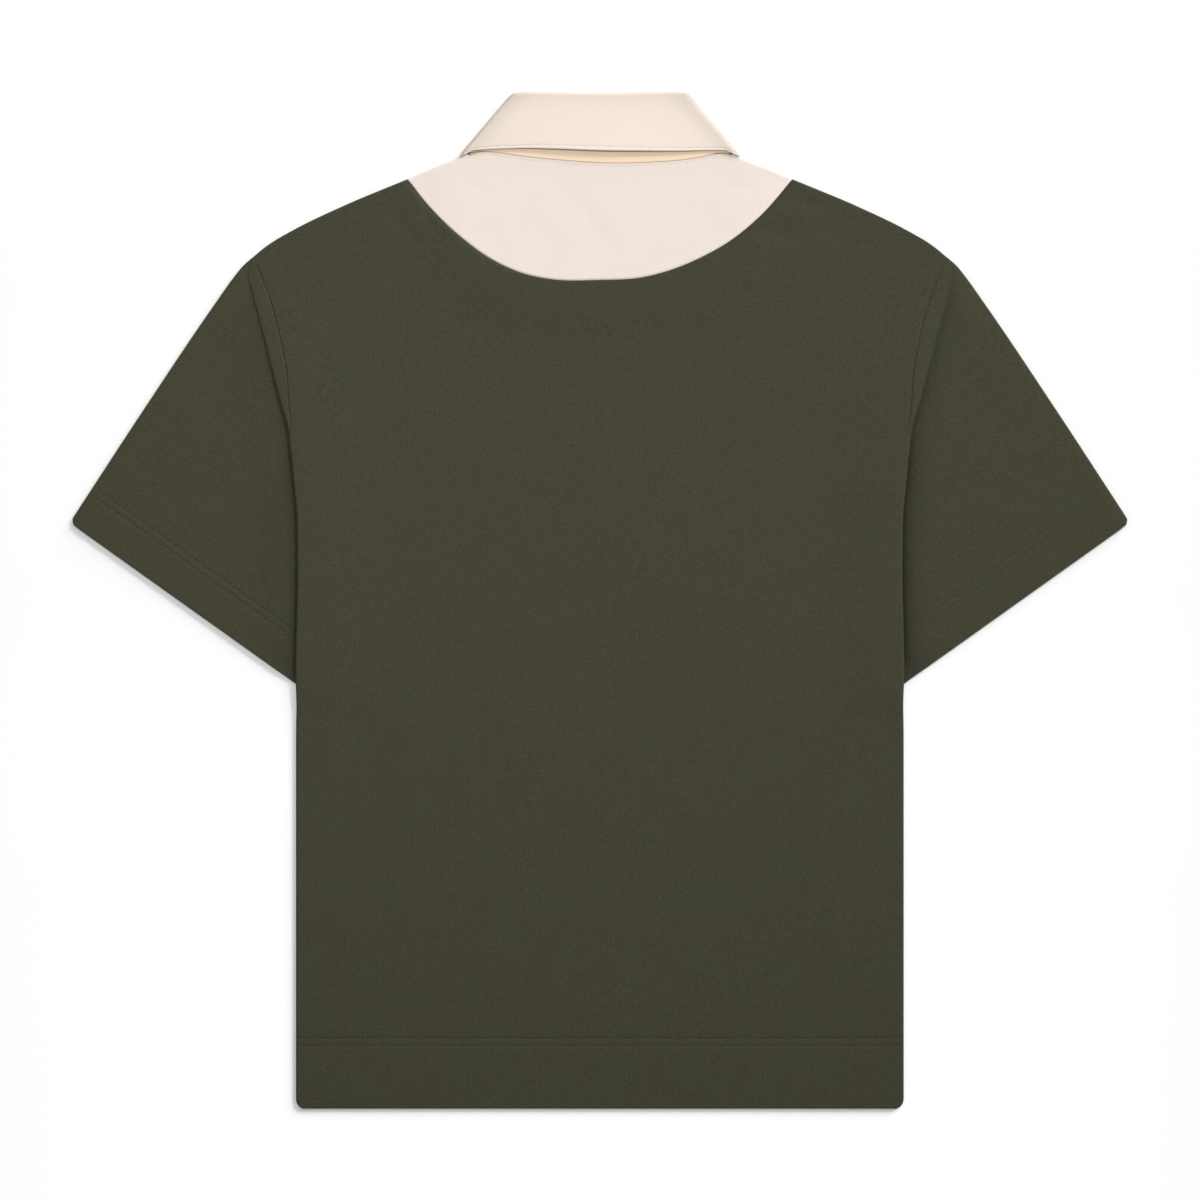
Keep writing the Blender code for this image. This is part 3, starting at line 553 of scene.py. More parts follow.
def panel(runs, seam, count, bottom_face, tops, wrinkles):
    """Middle points of a body panel and its thickness: the bent edges at both sides, and rows between them
    from the hem to the yoke's seam."""
    left = runs[:, 0, :2]
    right = left * np.array([-1, 1])
    shares = np.linspace(0, 1, count)
    hem = left[0] + (right[0] - left[0]) * shares[:, None]
    top = seam_between(seam, -half_gap, count, left[-1], right[-1])
    plan = patch(hem, top, left, right, len(side_y))
    x, y = plan[..., 0], plan[..., 1]
    full = np.where(y < HEM_Y + HEM_DEPTH, DOUBLED, JERSEY)
    if bottom_face:
        z = full / 2 + neck_lift(x, y)
    else:
        reach = smooth(1 - (np.abs(left[:, :1]) - np.abs(x)) / SIDE_EASE)
        z = OUTER_Z - full / 2 + neck_lift(x, y) + reach * (tops[:, None] - OUTER_Z)
    groove = sum(stitch_groove(y - line) for line in HEM_LINES) * (1 if bottom_face else -1)
    middle = np.dstack([x, y, z + wrinkles(x, y) + groove])[:, 1:-1]
    runs = runs.copy()
    runs[:, :8, 2] += groove[:, :1]  # as far as the bend
    grid = np.concatenate([runs[:, ::-1], middle, runs * (-1, 1, 1)], axis=1)
    ply = np.full(grid.shape[:2], JERSEY)
    edge = runs.shape[1]
    ply[:, edge:-edge] = full[:, 1:-1]
    ply *= rounded(left[:, 1] - HEM_Y)[:, None]
    return grid, ply


def hem_stitches(side, piece, half, from_above):
    """The two rows along a panel's hem, each from -half to half."""
    rows = []
    for k, line in enumerate(HEM_LINES):
        name, path = f"{side}_hem_stitches_{k + 1}", [(x, line) for x in np.linspace(-half, half, 60)]
        rows.append(row_of_stitches(name, piece, path, green_thread, from_above))
    return rows


FRONT_CREASES = (
    (-120, -150, -60, -330, 9, 0.35), (70, -60, 140, -290, 11, 0.3), (-160, 90, -60, 20, 8, 0.3),
    (150, 120, 60, 40, 9, 0.35), (-20, 40, 10, -160, 10, 0.25),
)
GREEN = (0.0362, 0.0358, 0.0217)
green_jersey = cotton("green_jersey", GREEN, 0.82, (1.0, 0.97, 0.93))
# The green thread is much darker than the jersey: partly its own colour, partly painted shade for the grooves
# that the stitches lie in.
green_thread = sewing_thread("green_thread", (0.010, 0.010, 0.006), (0.022, 0.022, 0.013), 0.7, 1.0)

grid, ply = panel(front_runs, FRONT_YOKE_SEAM, 89, True, tops, lambda x, y: creases(FRONT_CREASES, x, y))
front_panel = cloth("front_panel_cloth", grid, ply)
slit_half = PLACKET_HALF + half_gap
bpy.ops.mesh.primitive_cube_add(size=1, location=(0, (PLACKET_Y[0] - half_gap + 150) * MM, 0))
slit = bpy.context.object
slit.scale = (2 * slit_half * MM, 300 * MM, 20 * MM)
cut = front_panel.modifiers.new("slit", "BOOLEAN")
cut.object, cut.solver = slit, "FAST"
bpy.context.view_layer.objects.active = front_panel
bpy.ops.object.modifier_apply(modifier="slit")
bpy.data.objects.remove(slit)
dress(front_panel, green_jersey, "front_panel")
threads = hem_stitches("front", front_panel, 224, False)

# -----------------------------------------------------------------------------------------------------------
# Front yoke: two curved pieces of cream cotton jersey on the chest, left and right of the placket. They are
# sewn to the front panel's curved edge and the collar's stand, and bend up to the back yoke at the shoulders.
YOKE_SHOULDER = (
    (-144.6, 315.9), (-126.0, 323.9), (-112.5, 328.9), (-106.5, 331.3), (-103.3, 333.6), (-101.3, 336.0),
)
FRONT_NECK_SEAM = (
    (-99.7, 334.6), (-94.0, 308.0), (-76.0, 279.0), (-44.0, 259.0), (-16.3, 252.2), (-1.5, 251.0),
)
CREAM = (0.581, 0.518, 0.472)
cream_jersey = cotton("cream_jersey", CREAM, 0.985, (1.0, 0.992, 0.98))
yoke_shares = np.linspace(0.003, 0.997, 24)
yoke_edges = shoulder_edges(YOKE_SHOULDER, yoke_shares, SEAM_LEAN * smooth(1 - yoke_shares / 0.6))

runs = np.array([front.run(-FLAT_RIM, front.bend + SEAM_DROP - half_gap) for back, front in yoke_edges])
left = runs[:, 0, :2]
neck = along(FRONT_NECK_SEAM, np.linspace(0, 1, 200))
seam = seam_between(FRONT_YOKE_SEAM, half_gap, 121, left[0], left[0] * (-1, 1))
bottom = seam[seam[:, 0] < -slit_half - 1.0]
bottom = np.vstack([bottom, [-slit_half, np.interp(-slit_half, seam[:, 0], seam[:, 1])]])
neck_end = np.array([-slit_half, np.interp(-slit_half, neck[:, 0], neck[:, 1]) + half_gap])
top = seam_between(FRONT_NECK_SEAM, -half_gap, len(bottom), left[-1], neck_end)
right = bottom[-1] + (top[-1] - bottom[-1]) * np.linspace(0, 1, len(left))[:, None]
plan = patch(bottom, top, left, right)
x, y = plan[..., 0], plan[..., 1]
middle = np.dstack([x, y, JERSEY / 2 + neck_lift(x, y)])[:, 1:]
grid = np.concatenate([runs[:, ::-1], middle], axis=1)
for side, mirrored in (("left", False), ("right", True)):
    piece = cloth(f"front_yoke_{side}_cloth", grid, JERSEY, mirrored)
    dress(piece, cream_jersey, f"front_yoke_{side}")

# -----------------------------------------------------------------------------------------------------------
# Placket: two strips of cream twill at the neck's front opening, one over the other. The upper one is let
# into the slit and sewn down along both edges and across its foot; the buttons are hidden between them.
TWILL = (0.588, 0.512, 0.455)
PLACKET_MARGIN = 2.5  # of the stitches from the strip's edge
UNDER_STRIP = (1.5, 2.0, 1.5)  # how much narrower at each side, shorter and higher it is
cream_twill = cotton("cream_twill", TWILL, 0.985, (1.0, 0.99, 0.98), twill=True)
cream_thread = sewing_thread("cream_thread", (0.56, 0.49, 0.42), (0.70, 0.62, 0.52), 0.6, 0.0)

for name, (narrower, shorter, higher) in (("placket_upper", (0, 0, 0)), ("placket_under", UNDER_STRIP)):
    half, low = PLACKET_HALF - narrower, PLACKET_Y[0] + shorter
    x, y = np.meshgrid(np.linspace(-half, half, 27), np.linspace(low, PLACKET_Y[1], 80))
    dent = stitch_groove(half - PLACKET_MARGIN - np.abs(x))
    grid = np.dstack([x, y, JERSEY / 2 + higher + neck_lift(0 * x, y) + dent])
    edge = np.minimum(half - np.abs(x), y - low)
    strip = cloth(f"{name}_cloth", grid, JERSEY * rounded(edge, 0.8, 0.1, 0.15))
    dress(strip, cream_twill, name)
    if name == "placket_upper":
        inset, foot = half - PLACKET_MARGIN, PLACKET_Y[0] + PLACKET_MARGIN
        path = [(-inset, PLACKET_Y[1] - 1), (-inset, foot), (inset, foot), (inset, PLACKET_Y[1] - 1)]
        thread = row_of_stitches("placket_stitches", strip, path, cream_thread, False)

# -----------------------------------------------------------------------------------------------------------
# Back panel: the same jersey as the front, on top. Its upper edge is cut in a deep curve for the yoke, its
# sides turn over and under, and above the underarm it lies over the folded sleeve.
YOKE_SEAM = (
    (-144.6, 315.9), (-127.1, 294.2), (-104.6, 272.5), (-82.1, 256.0), (-59.6, 245.5), (-37.1, 240.6),
    (0.0, 240.0), (30.4, 241.7), (52.9, 247.4), (75.4, 256.7), (97.9, 269.5), (120.4, 288.2), (144.6, 315.9),
)
BACK_CREASES = (
    (-137, 303, -113, 258, 4.0, -0.8), (-160, 300, -146, 272, 4.5, -0.65), (-150, 306, -126, 262, 4.5, 0.5),
    (138, 305, 178, 291, 4.5, -0.75), (112, 275, 158, 273, 4.5, -0.75), (148, 282, 186, 274, 5.0, -0.6),
    (128, 290, 170, 283, 4.5, 0.5), (-172, -70, -160, -320, 9, -0.3), (150, -120, 196, -330, 13, 0.35),
    (-60, -210, -20, -330, 12, 0.2), (-200, 120, -150, 20, 12, -0.2), (60, -20, 180, 60, 14, 0.2),
)


def back_relief(x, y):
    swell = 0.22 * np.sin(x / 47 + 1.1 * np.sin(y / 83)) * np.sin(y / 61 + 0.7)
    swell += 0.12 * np.sin(x / 23 - y / 31)
    calm = smooth((215 - np.abs(x)) / 40) * smooth((y - HEM_Y - 8) / 40)
    return creases(BACK_CREASES, x, y) + swell * calm


grid, ply = panel(back_runs, YOKE_SEAM, 101, False, tops, back_relief)
# Painted shade along the open armhole seams: the cloth is darkened at each run's seam end, as if its groove
# were in shade.
sinks = np.zeros(len(back_runs))
sinks[len(side_y):len(side_y) + len(armhole_y)] = [sink for edge, seam, sink in armhole_edges]
dark = np.array([seam_shade(run, sink) for run, sink in zip(back_runs, sinks)])
shade = np.zeros(grid.shape[:2])
shade[:, :dark.shape[1]], shade[:, -dark.shape[1]:] = dark[:, ::-1], dark
back_panel = cloth("back_panel_cloth", grid, ply, shade=shade)
dress(back_panel, green_jersey, "back_panel")
threads = hem_stitches("back", back_panel, 227, True)

# -----------------------------------------------------------------------------------------------------------
# Back yoke: cream cotton jersey in one piece, between the back panel's curved edge and the neck seam, bent
# over both shoulders. The neck seam is topstitched just below the collar.
NECK_SEAM = (
    (-99.7, 334.6), (-90.0, 336.6), (-74.6, 335.3), (-61.0, 333.2), (-30.0, 329.9), (5.0, 327.7),
    (40.0, 328.4), (65.0, 330.4), (78.0, 332.6), (90.0, 335.3), (99.7, 334.6),
)
NECK_STITCH = 2.4  # of the topstitch from the neck seam
YOKE_CREASES = (
    (-30, 316, 16, 250, 7, -0.3), (-14, 318, 30, 256, 8, 0.2), (-108, 318, -78, 300, 6, -0.3),
    (84, 316, 124, 304, 5, -0.3), (70, 300, 96, 268, 7, -0.2), (-70, 300, -96, 276, 8, 0.15),
)
runs = np.array([back.run(-FLAT_RIM, back.bend + SEAM_DROP - half_gap) for back, front in yoke_edges])
left = runs[:, 0, :2]
bottom = seam_between(YOKE_SEAM, half_gap, 101, left[0], left[0] * (-1, 1))
top = seam_between(NECK_SEAM, -half_gap, 101, left[-1], left[-1] * (-1, 1))
spread = np.concatenate([np.linspace(0, 0.955, 46), np.linspace(0.96, 1.0, 15)])
count = np.arange(len(left))
grow = np.interp(spread, np.linspace(0, 1, len(left)), count)
runs = np.stack([sample(runs[:, k], count, grow) for k in range(runs.shape[1])], axis=1)
left = runs[:, 0, :2]
plan = patch(bottom, top, left, left * np.array([-1, 1]))
x, y = plan[..., 0], plan[..., 1]
neck_line = np.interp(x, top[:, 0], top[:, 1])
relief = creases(YOKE_CREASES, x, y) - 0.5 * stitch_groove(neck_line - NECK_STITCH - y)
middle = np.dstack([x, y, OUTER_Z - JERSEY / 2 + neck_lift(x, y) + relief])[:, 1:-1]
grid = np.concatenate([runs[:, ::-1], middle, runs * (-1, 1, 1)], axis=1)
back_yoke = cloth("back_yoke_cloth", grid, JERSEY)
dress(back_yoke, cream_jersey, "back_yoke")
path = [(x, y - NECK_STITCH) for x, y in top[10:-10]]
thread = row_of_stitches("neck_stitches", back_yoke, path, cream_thread)

# -----------------------------------------------------------------------------------------------------------
# Sleeves: a wide short tube of green jersey each, laid flat with a fold along its upper edge and one at the
# underarm. Each is gathered under the body's edge in a soft pleat, and its hem is turned up and double sewn.
CUFF_CORNER = (3.1, 4.6)  # the upper fold is drawn in by this at the cuff, over this depth
CUFF_FOLDS = (9.0, 12.5)  # of the cuff's length that the upper fold and the underarm's take up
CUFF_LINES = (31.7, 26.3)  # two rows of stitches, from the cuff's edge
CUFF_INNER = (-222.2, -66.7)
UNDERARM = (-222.2, -57.0)
UNDERARM_R = 0.75
SLEEVE_GRAIN = -56.6 + 90
SLEEVE_TOP = (
    SHOULDER_TIP, (-267.6, 251.2), (-274.6, 242.6), (-287.4, 224.6), (-343.4, 141.5), (-397.7, 58.4),
)
SLEEVE_CREASES = (
    (-262, 190, -300, 120, 9, -0.35), (-250, 110, -290, 20, 12, -0.3), (-300, 170, -345, 90, 12, 0.3),
    (-290, 60, -330, 10, 10, -0.25), (-270, 215, -292, 190, 6, 0.25),
)
VALLEY = 26.0  # the sleeve comes up again from the pleat over this length
PUFF = {"left": 0.9, "right": 3.0}  # its soft swelling just outside the pleat
FOLD_SHADES = ((0.25, 22.0), (0.15, 5.0))  # painted shade on the sleeve beside the body's raised edge, and how far it reaches
UPPER_SHADE = 0.45  # share of it that is left above the gathers
PLEAT_ROWS = 19
PLEAT_REACH = (0.25, 5.5)  # of these rows, along the upper fold
LAYER_REACH = 9.0  # of these rows in the lower layer
HEM_SPACE = 40.0  # where the sleeve is shorter than this, its hem's rows are closer
MAIN_SHARES = np.concatenate([np.linspace(0.012, 0.2, 14), np.linspace(0.225, 0.985, 32)])
beside_line = np.array([1.2, 0.6, 0.0, -0.6, -1.2])
hem_depths = np.concatenate([CUFF_LINES[0] + beside_line, [29.0], CUFF_LINES[1] + beside_line,
                             np.linspace(22, 7, 5), [5.0, 3.6, 2.4, 1.5, 0.9, 0.45, 0.15, 0.0]])
hem_from = hem_depths[0] + 1.0
corner, hidden = np.array(SLEEVE_TOP[-1]), np.array(CUFF_INNER)
cuff_way = unit(hidden - corner)
cuff_out = np.array([cuff_way[1], -cuff_way[0]])
cuff_length = np.linalg.norm(hidden - corner)
row_count = PLEAT_ROWS + len(MAIN_SHARES) + len(hem_depths)
strands, plies, swells, shades = [], [], [], []


def add_strand(points, ply, swell=0.0, shade=0.0):
    """The next line of points down the sleeve, with its thickness, its share of the puff and its shade."""
    strands.append(points)
    for values, value in ((plies, ply), (swells, swell), (shades, shade)):
        values.append(np.broadcast_to(value, row_count))


def cuff_reach(part):
    """Distance along the cuff from its corner, for a share of the armhole."""
    return CUFF_FOLDS[0] + part * (cuff_length - sum(CUFF_FOLDS))


def to_cuff(start, reach):
    """Points in plan from start to the cuff, at this distance along it from its corner."""
    end = corner + cuff_way * reach
    depth = (end - start) @ cuff_out
    hem = [end + (start - end) * row * min(1.0, depth / HEM_SPACE) / depth for row in hem_depths]
    return np.array([start + (hem[0] - start) * share for share in MAIN_SHARES] + hem)


def from_cuff_line(plan):
    return (corner - plan) @ cuff_out


# Fold at the upper edge
inner_rim = beside(along(SLEEVE_TOP, np.linspace(0, 1, 800)), OUTER_Z / 2)
run = run_along(inner_rim)
reach = np.concatenate([np.linspace(*PLEAT_REACH, PLEAT_ROWS),
                        PLEAT_REACH[1] + (run[-1] - hem_depths[0] - PLEAT_REACH[1]) * MAIN_SHARES,
                        run[-1] - hem_depths])
axis = sample(inner_rim, run, reach)
heading = np.gradient(axis, axis=0)
outward = unit(np.stack([heading[:, 1], -heading[:, 0]], axis=1))
from_cuff = np.concatenate([np.full(row_count - len(hem_depths), 99.0), hem_depths])
axis -= outward * (CUFF_CORNER[0] * smooth(1 - from_cuff / CUFF_CORNER[1]) ** 1.5)[:, None]
full = np.where(from_cuff < hem_from, DOUBLED, JERSEY)
radius = (OUTER_Z - full) / 2
for turn in (180, 157, 135, 112, 90, 68, 45, 23, 0):
    a = radians(turn)
    points = np.column_stack([axis + outward * (radius * sin(a))[:, None], OUTER_Z / 2 + radius * cos(a)])
    add_strand(points, full * rounded(from_cuff))

# Upper layer, from the shoulder's tip to the underarm
pleats = [edge.run(seam, 2 * edge.bend + edge.tuck + 0.6, seam, sink)
          for edge, seam, sink in armhole_edges[::-1]]
ends = np.array([run[-1] for run in pleats])
share = run_along(ends[:, :2])
share = share / share[-1]
for run, part, (edge, seam, sink) in zip(pleats, share, armhole_edges[::-1]):
    end_y, face = run[-1, 1], run[-1, 2] + JERSEY / 2
    plan = to_cuff(run[-1, :2], cuff_reach(part))
    way = np.linalg.norm(plan - run[-1, :2], axis=1)
    way = np.minimum(way, np.maximum(1.6 * (run[-1, 0] - plan[:, 0]), 0.0))
    height = face + (OUTER_Z - face) * smooth(way / VALLEY)
    depth = from_cuff_line(plan)
    thick = np.where(depth < hem_from, np.minimum(DOUBLED, (height - 0.25) / 2), JERSEY)
    puff = smooth((OUTER_Z - face) / 1.2) * (1 - np.exp(-way / 5.0)) * np.exp(-(way / 32) ** 2)
    relief = creases(SLEEVE_CREASES, plan[:, 0], plan[:, 1]) * smooth(way / 20)
    relief -= sum(stitch_groove(depth - line) for line in CUFF_LINES)
    # Painted shade: the sleeve's colour darkens beside the body's raised edge and into the pleat, standing in
    # for the shade that edge casts, less above the gathers.
    dark = sum(tone * np.exp(-way / fade) for tone, fade in FOLD_SHADES)
    dark *= UPPER_SHADE + (1 - UPPER_SHADE) * smooth((150 - end_y) / 60)
    dark *= smooth((248 - end_y) / 30)
    pleat_painted_shade = dark[0] * np.linspace(0, 1, PLEAT_ROWS) ** 3 + seam_shade(run[::-1], sink)[::-1]
    add_strand(np.vstack([run, np.column_stack([plan, height - thick / 2 + relief])]),
               np.concatenate([[JERSEY] * PLEAT_ROWS, thick * rounded(depth)]),
               np.concatenate([np.zeros(PLEAT_ROWS), puff * smooth((depth - 3) / 12)]),
               np.concatenate([pleat_painted_shade, dark]))

# Underarm's fold, hidden under the body
start = np.array(UNDERARM)
axis = start + (hidden - start) * np.linspace(0.0, 1.0, row_count)[:, None] - (UNDERARM_R, 0)
for turn in (0, 45, 90, 135, 180):
    a = radians(turn)
    z = np.full(row_count, JERSEY / 2 + UNDERARM_R + UNDERARM_R * cos(a))
    add_strand(np.column_stack([axis + (UNDERARM_R * sin(a), 0), z]), JERSEY)

# Lower layer, back to the shoulder's tip
for y in np.linspace(-44.0, 250.0, 50):
    start = np.array([front_cut(y) - half_gap, y])
    part = np.interp(-y, -ends[:, 1], share)
    way = unit(corner + cuff_way * cuff_reach(part) - start)
    first = start + way * np.linspace(0, LAYER_REACH, PLEAT_ROWS)[:, None]
    plan = np.vstack([first, to_cuff(first[-1], cuff_reach(part))])
    depth = from_cuff_line(plan)
    thick = np.where((depth < hem_from) & (plan[:, 0] < -240), DOUBLED, JERSEY)
    relief = sum(stitch_groove(depth - line) for line in CUFF_LINES)
    add_strand(np.column_stack([plan, thick / 2 + relief]), thick * rounded(depth))

grid = np.array(strands).transpose(1, 0, 2)[:, ::-1]
ply, swell, shade = (np.array(values).T[:, ::-1] for values in (plies, swells, shades))
for side, mirrored in (("left", False), ("right", True)):
    puffed = grid + swell[..., None] * (0, 0, PUFF[side])
    sleeve = cloth(f"sleeve_{side}_cloth", puffed, ply, mirrored, True, SLEEVE_GRAIN, shade)
    dress(sleeve, green_jersey, f"sleeve_{side}")
    threads = []
    for k, line in enumerate(CUFF_LINES):
        on_line = np.linspace(6.0, cuff_length - 9, 40)[:, None]
        path = (corner - cuff_out * line + cuff_way * on_line) * (-1 if mirrored else 1, 1)
        for face, from_above in (("upper", True), ("lower", False)):
            name = f"sleeve_{side}_stitches_{face}_{k + 1}"
            threads.append(row_of_stitches(name, sleeve, path, green_thread, from_above))

# -----------------------------------------------------------------------------------------------------------
# Collar: a stand and a turned-down fall of cream twill, each two plies with interlining. It is pressed flat
# along its roll and round both sides of the neck, so the two leaves lie under the shirt, and topstitched.
COLLAR_PLY = 1.5
COLLAR_ROUND = 0.75  # of its edges and ends
COLLAR_STITCH = 2.6  # of the topstitch from the fall's edge
COLLAR_BACK_Z, COLLAR_FRONT_Z = 6.7, 1.65  # height of the roll's centre
ROLL_BACK, ROLL_FRONT = 1.3, 0.9  # from the roll's centre to the middle of each ply
SIDE_ROLL = ((-65.9, 373.9), (-101.4, 332.6))  # axis of the bend at the neck's left side, top and bottom
CORNER_RISE = (3.6, 4.2)  # of the roll, where the bend comes up from the side to the back
CORNER_DROP, CORNER_BACK = (-0.6, -2.3), (0.5, 3.2)  # the fall's lower corner at its side, and up on top
LEAF_END = ((-5.0, 292.0), (-74.0, 252.0))  # leading edge of the left leaf, from the roll to its point
LEAF_LENGTH = 106.0
STAND_INSET = 1.6  # of the stand's foot from the front neck seam
STAND_TWILL_AND_BOUNCE = (0.700, 0.545, 0.400)  # a deeper, warmer cream for the stand: partly its own tone, partly painted warm bounced light and shade under the fall
SIDE_SHADE, ROLL_SHADE = (0.15, 10.0), (0.07, 9.0)  # painted shade at the collar's rounded sides and along its roll, and its reach
ROLL_Y = 380.5

# The collar's back: roll_x, roll_y, edge_x, edge_y, lift, neck_x. lift: of the fall's edge off the shirt.
COLLAR_ROWS = (
    (-57.0, 378.6, -95.0, 336.9, 0.0, -90.0),
    (-48.0, 378.6, -84.0, 337.6, 0.0, -79.0),
    (-34.0, 378.4, -58.0, 338.4, 1.2, -56.0),
    (-17.0, 378.0, -29.0, 337.7, 2.4, -28.0),
    (0.0, 377.8, 0.0, 336.6, 2.9, 0.0),
    (17.0, 378.0, 29.0, 336.3, 2.4, 28.0),
    (34.0, 378.4, 58.0, 336.3, 1.3, 56.0),
    (48.0, 378.6, 84.0, 336.9, 0.2, 79.0),
    (57.0, 378.6, 95.0, 336.7, 0.0, 90.0),
)
stand_twill_and_bounce = cotton("cream_twill_stand", STAND_TWILL_AND_BOUNCE, 0.985, (1.0, 0.99, 0.98), twill=True)
mid_z, bend = (COLLAR_BACK_Z + COLLAR_FRONT_Z) / 2, (COLLAR_BACK_Z - COLLAR_FRONT_Z) / 2
roll_top, roll_low = np.array(SIDE_ROLL[0]), np.array(SIDE_ROLL[1])
side_out = unit(np.array([roll_low[1] - roll_top[1], roll_top[0] - roll_low[0]]))
side_top = unit(roll_top - roll_low)
leaf_top = unit(np.array([roll_top[1] - LEAF_END[0][1], LEAF_END[0][0] - roll_top[0]]))
stand_low = np.array(FRONT_NECK_SEAM[0]) + (0.6, 0.7)
leaf_neck = beside(along(FRONT_NECK_SEAM, np.linspace(0, 1, 1001)), STAND_INSET)
end_steps = np.array([0, 0.2, 0.7, 1.4, 2.0, 2.6, 3.2, 4.2])
edge_steps = np.array([4.2, 3.2, 2.6, 2.0, 1.4, 0.8, 0.35, 0.12, 0.0])

# Stations round the collar, each with the roll and its height, the feet of the fall and of the stand, the way
# out of the cloth, the roll's radius, the lift of the fall, and the way past the roll
left_half = []
for part in np.concatenate([1 - end_steps / LEAF_LENGTH, np.linspace(0.93, 0.06, 24)]):
    roll, low = (top + (np.array(end) - top) * part for top, end in zip((roll_top, roll_low), LEAF_END))
    neck_point = leaf_neck[int(part * 1000)]
    left_half.append((roll, COLLAR_FRONT_Z, low, neck_point, (0, 0, -1), ROLL_FRONT, 0.0, leaf_top))
for turn in np.linspace(-90, 90, 17):
    a = radians(turn)
    out = side_out * cos(a)
    half = ROLL_FRONT + (ROLL_BACK - ROLL_FRONT) * (turn + 90) / 180
    inward = np.array([STAND_INSET, 0.0]) * max(-sin(a), 0.0)
    up = max(sin(a), 0.0) ** 2
    drop = np.array(CORNER_DROP) * smooth((turn + 30) / 45) + np.array(CORNER_BACK) * smooth((turn - 35) / 55)
    beyond = side_top * (1 - up) + up * np.array([-0.2, 1.0])
    left_half.append((roll_top + bend * out + up * np.array(CORNER_RISE), mid_z + bend * sin(a),
                      roll_low + bend * out + drop, stand_low + bend * out + inward, (*out, sin(a)), half,
                      0.0, beyond))
neck_line = beside(along(NECK_SEAM, np.linspace(0, 1, 300)), half_gap)
stations = list(left_half)
for roll_x, roll_y, edge_x, edge_y, lift, neck_x in along(COLLAR_ROWS, np.linspace(0, 1, 61)):
    neck_y = np.interp(neck_x, neck_line[:, 0], neck_line[:, 1])
    beyond = np.array([-0.35 * smooth((abs(roll_x) - 44) / 12) * np.sign(roll_x), 1.0])
    stations.append((np.array([roll_x, roll_y]), COLLAR_BACK_Z, np.array([edge_x, edge_y]),
                     np.array([neck_x, neck_y]), (0, 0, 1), ROLL_BACK, lift, beyond))
flip = np.array([-1, 1])
for roll, z, low, neck_point, out, half, lift, beyond in left_half[::-1]:
    stations.append((roll * flip, z, low * flip, neck_point * flip, (-out[0], out[1], out[2]), half, lift,
                     beyond * flip))

fall, stand = [], []
for roll, z, low, neck_point, out, half, lift, beyond in stations:
    out, centre, beyond = np.array(out, float), np.array([*roll, z]), unit(np.array([*beyond, 0.0]))
    for rows, foot, side, short in ((fall, low, 1, 0.1), (stand, neck_point, -1, 0.5)):
        down = np.array([*(foot - roll), 0.0])
        long = np.linalg.norm(down)
        turns = np.radians(90 - np.linspace(0, 90, 9)) - short / half * np.linspace(1, 0, 9) ** 1.5
        line = [centre + beyond * half * sin(a) + side * out * half * cos(a) for a in turns]
        for part in np.concatenate([np.linspace(0.03, 0.87, 20), 1 - edge_steps / long]):
            rise = lift * part ** 1.5 if side > 0 else 0.0
            dent = stitch_groove((1 - part) * long - COLLAR_STITCH) if side > 0 else 0.0
            line.append(centre + down * part + out * (side * half + rise - dent))
        rows.append(line)
line_share, end_share = np.ones(len(fall[0])), np.ones(len(fall))
line_share[-len(edge_steps):] = rounded(edge_steps, COLLAR_ROUND, 0.05)
end_share[:len(end_steps)] = rounded(end_steps, COLLAR_ROUND, 0.05)
end_share[-len(end_steps):] = end_share[len(end_steps) - 1::-1]
ply = COLLAR_PLY * np.minimum(line_share[None, :], end_share[:, None])


def collar_part(name, grid, material):
    x, y = -np.abs(grid[..., 0]), grid[..., 1]
    inward = bend + COLLAR_PLY - (x - roll_top[0]) * side_out[0] - (y - roll_top[1]) * side_out[1]
    # Painted shade: the colour darkens toward the collar's rounded sides and along its roll, where they turn
    # from the light.
    shade = (SIDE_SHADE[0] * np.exp(-(inward / SIDE_SHADE[1]) ** 2)
             + ROLL_SHADE[0] * np.exp(-((ROLL_Y - y) / ROLL_SHADE[1]) ** 2))
    part = cloth(f"{name}_cloth", grid, ply, shade=shade)
    dress(part, material, name)
    return part


collar_fall = collar_part("collar_fall", np.array(fall), cream_twill)
edge = np.array(fall)[:, -1, :2]
back = edge[len(left_half) - 2:3 - len(left_half)]
front_end = np.linspace(LEAF_END[0], LEAF_END[1], 20)[:-1] + (4.0, 0)
leaf = beside(np.vstack([front_end, edge[:len(left_half) - 12]]), -COLLAR_STITCH)
threads = []
for where, from_above, path in (("back", True, beside(back, COLLAR_STITCH)), ("left", False, leaf),
                                ("right", False, leaf * (-1, 1))):
    name = f"collar_stitches_{where}"
    threads.append(row_of_stitches(name, collar_fall, path, cream_thread, from_above))
collar_stand = collar_part("collar_stand", np.array(stand), stand_twill_and_bounce)

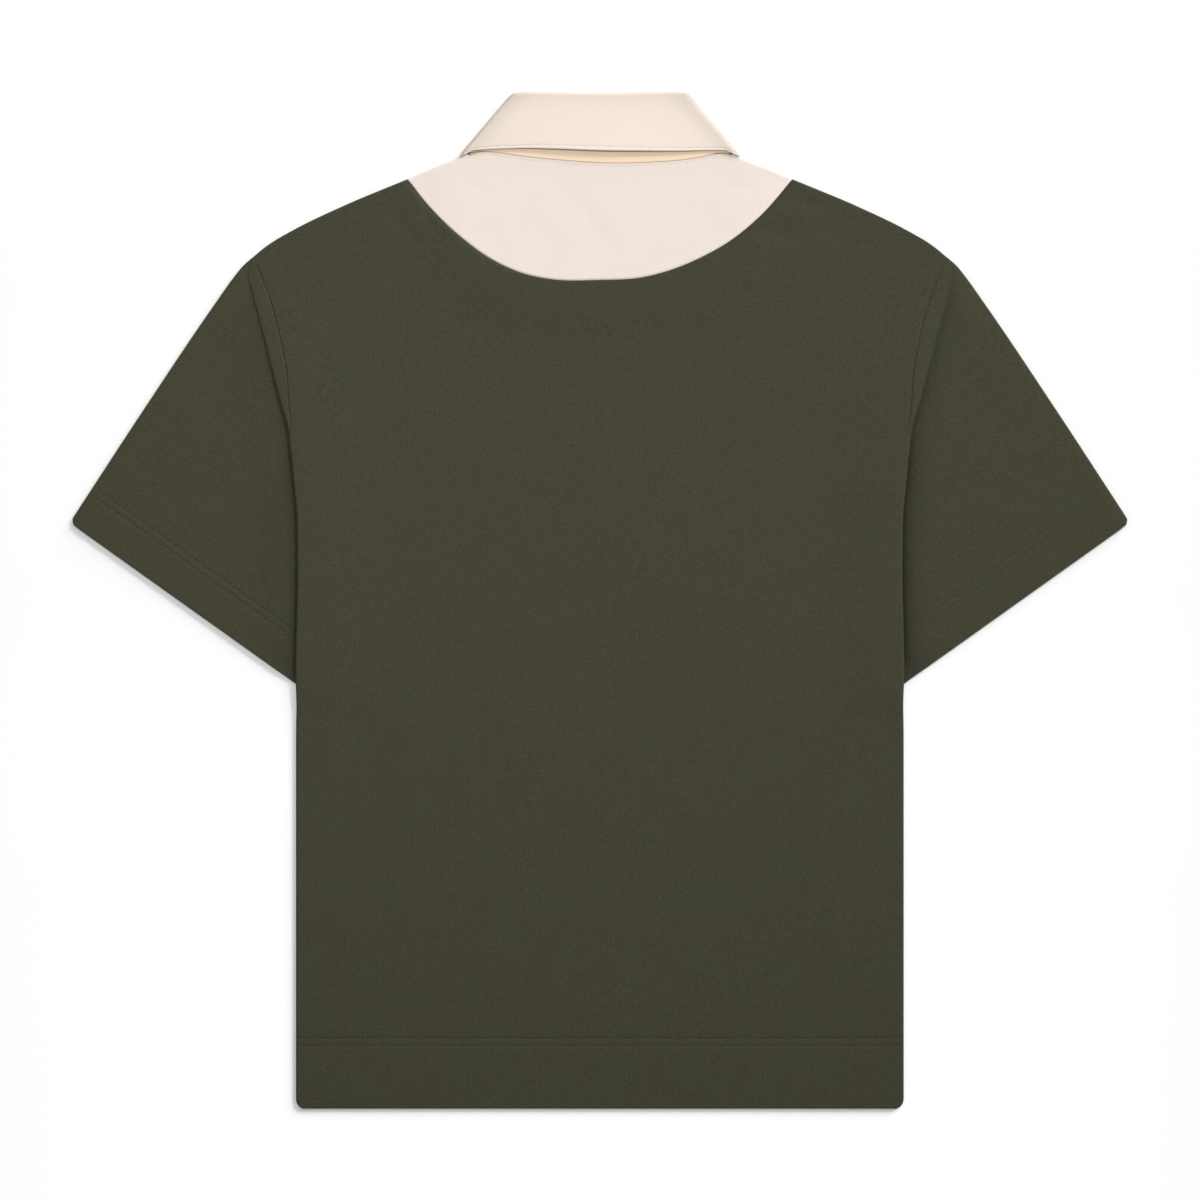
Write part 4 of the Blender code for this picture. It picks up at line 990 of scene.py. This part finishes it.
# -----------------------------------------------------------------------------------------------------------
# Table, light and camera: a white table in a pale studio. A lamp above the collar lights that end more than
# the hem, and a small and a wide one from the upper right throw soft narrow shadows on the table.
TABLE_TONES = ((0, 0.925), (0.1, 0.87), (0.25, 0.80), (0.5, 0.716), (0.75, 0.672), (1, 0.66))  # hem to collar
bpy.ops.mesh.primitive_plane_add(size=30.0, location=(0, 0, -0.0002))
table = bpy.context.object
table.name = "table"
white, nodes, links, surface = new_material("table_white", 0.8)
height = nodes.new("ShaderNodeSeparateXYZ")
span = nodes.new("ShaderNodeMapRange")
span.inputs["From Min"].default_value, span.inputs["From Max"].default_value = -0.45, 0.45
links.new(nodes.new("ShaderNodeTexCoord").outputs["Object"], height.inputs[0])
links.new(height.outputs["Y"], span.inputs["Value"])
colour_by(span.outputs["Result"], [(share, [tone] * 3) for share, tone in TABLE_TONES], nodes, links, surface)
table.data.materials.append(white)


def add_lamp(name, kind, energy, place, target):
    data = bpy.data.lights.new(name, kind)
    data.energy = energy
    lamp = bpy.data.objects.new(name, data)
    lamp.location = place
    lamp.rotation_euler = (Vector(target) - Vector(place)).to_track_quat("-Z", "Y").to_euler()
    bpy.context.scene.collection.objects.link(lamp)
    return data


world = bpy.data.worlds.new("studio")
bpy.context.scene.world = world
world.use_nodes = True
world.node_tree.nodes["Background"].inputs["Color"].default_value = (1, 1, 1, 1)
world.node_tree.nodes["Background"].inputs["Strength"].default_value = 0.40
top_lamp = add_lamp("top_lamp", "SPOT", 212.0, (0.0, 0.58, 2.9), (0.0, 0.62, 0.0))
top_lamp.spot_size, top_lamp.spot_blend, top_lamp.shadow_soft_size = radians(55), 1.0, 0.12
add_lamp("small_lamp", "SUN", 1.00, (0.95, 0.9, 1.0), (0.0, 0.0, 0.0)).angle = radians(9)
add_lamp("wide_lamp", "SUN", 2.30, (0.85, 0.95, 0.62), (0.0, 0.0, 0.0)).angle = radians(46)

camera_data = bpy.data.cameras.new("camera")
camera_data.lens = 120.0
camera_data.sensor_width = 36.0
camera = bpy.data.objects.new("camera", camera_data)
camera.location = (0.0001, 0.0002, 3.004)
bpy.context.scene.collection.objects.link(camera)
bpy.context.scene.camera = camera
bpy.context.scene.view_settings.view_transform = "Standard"
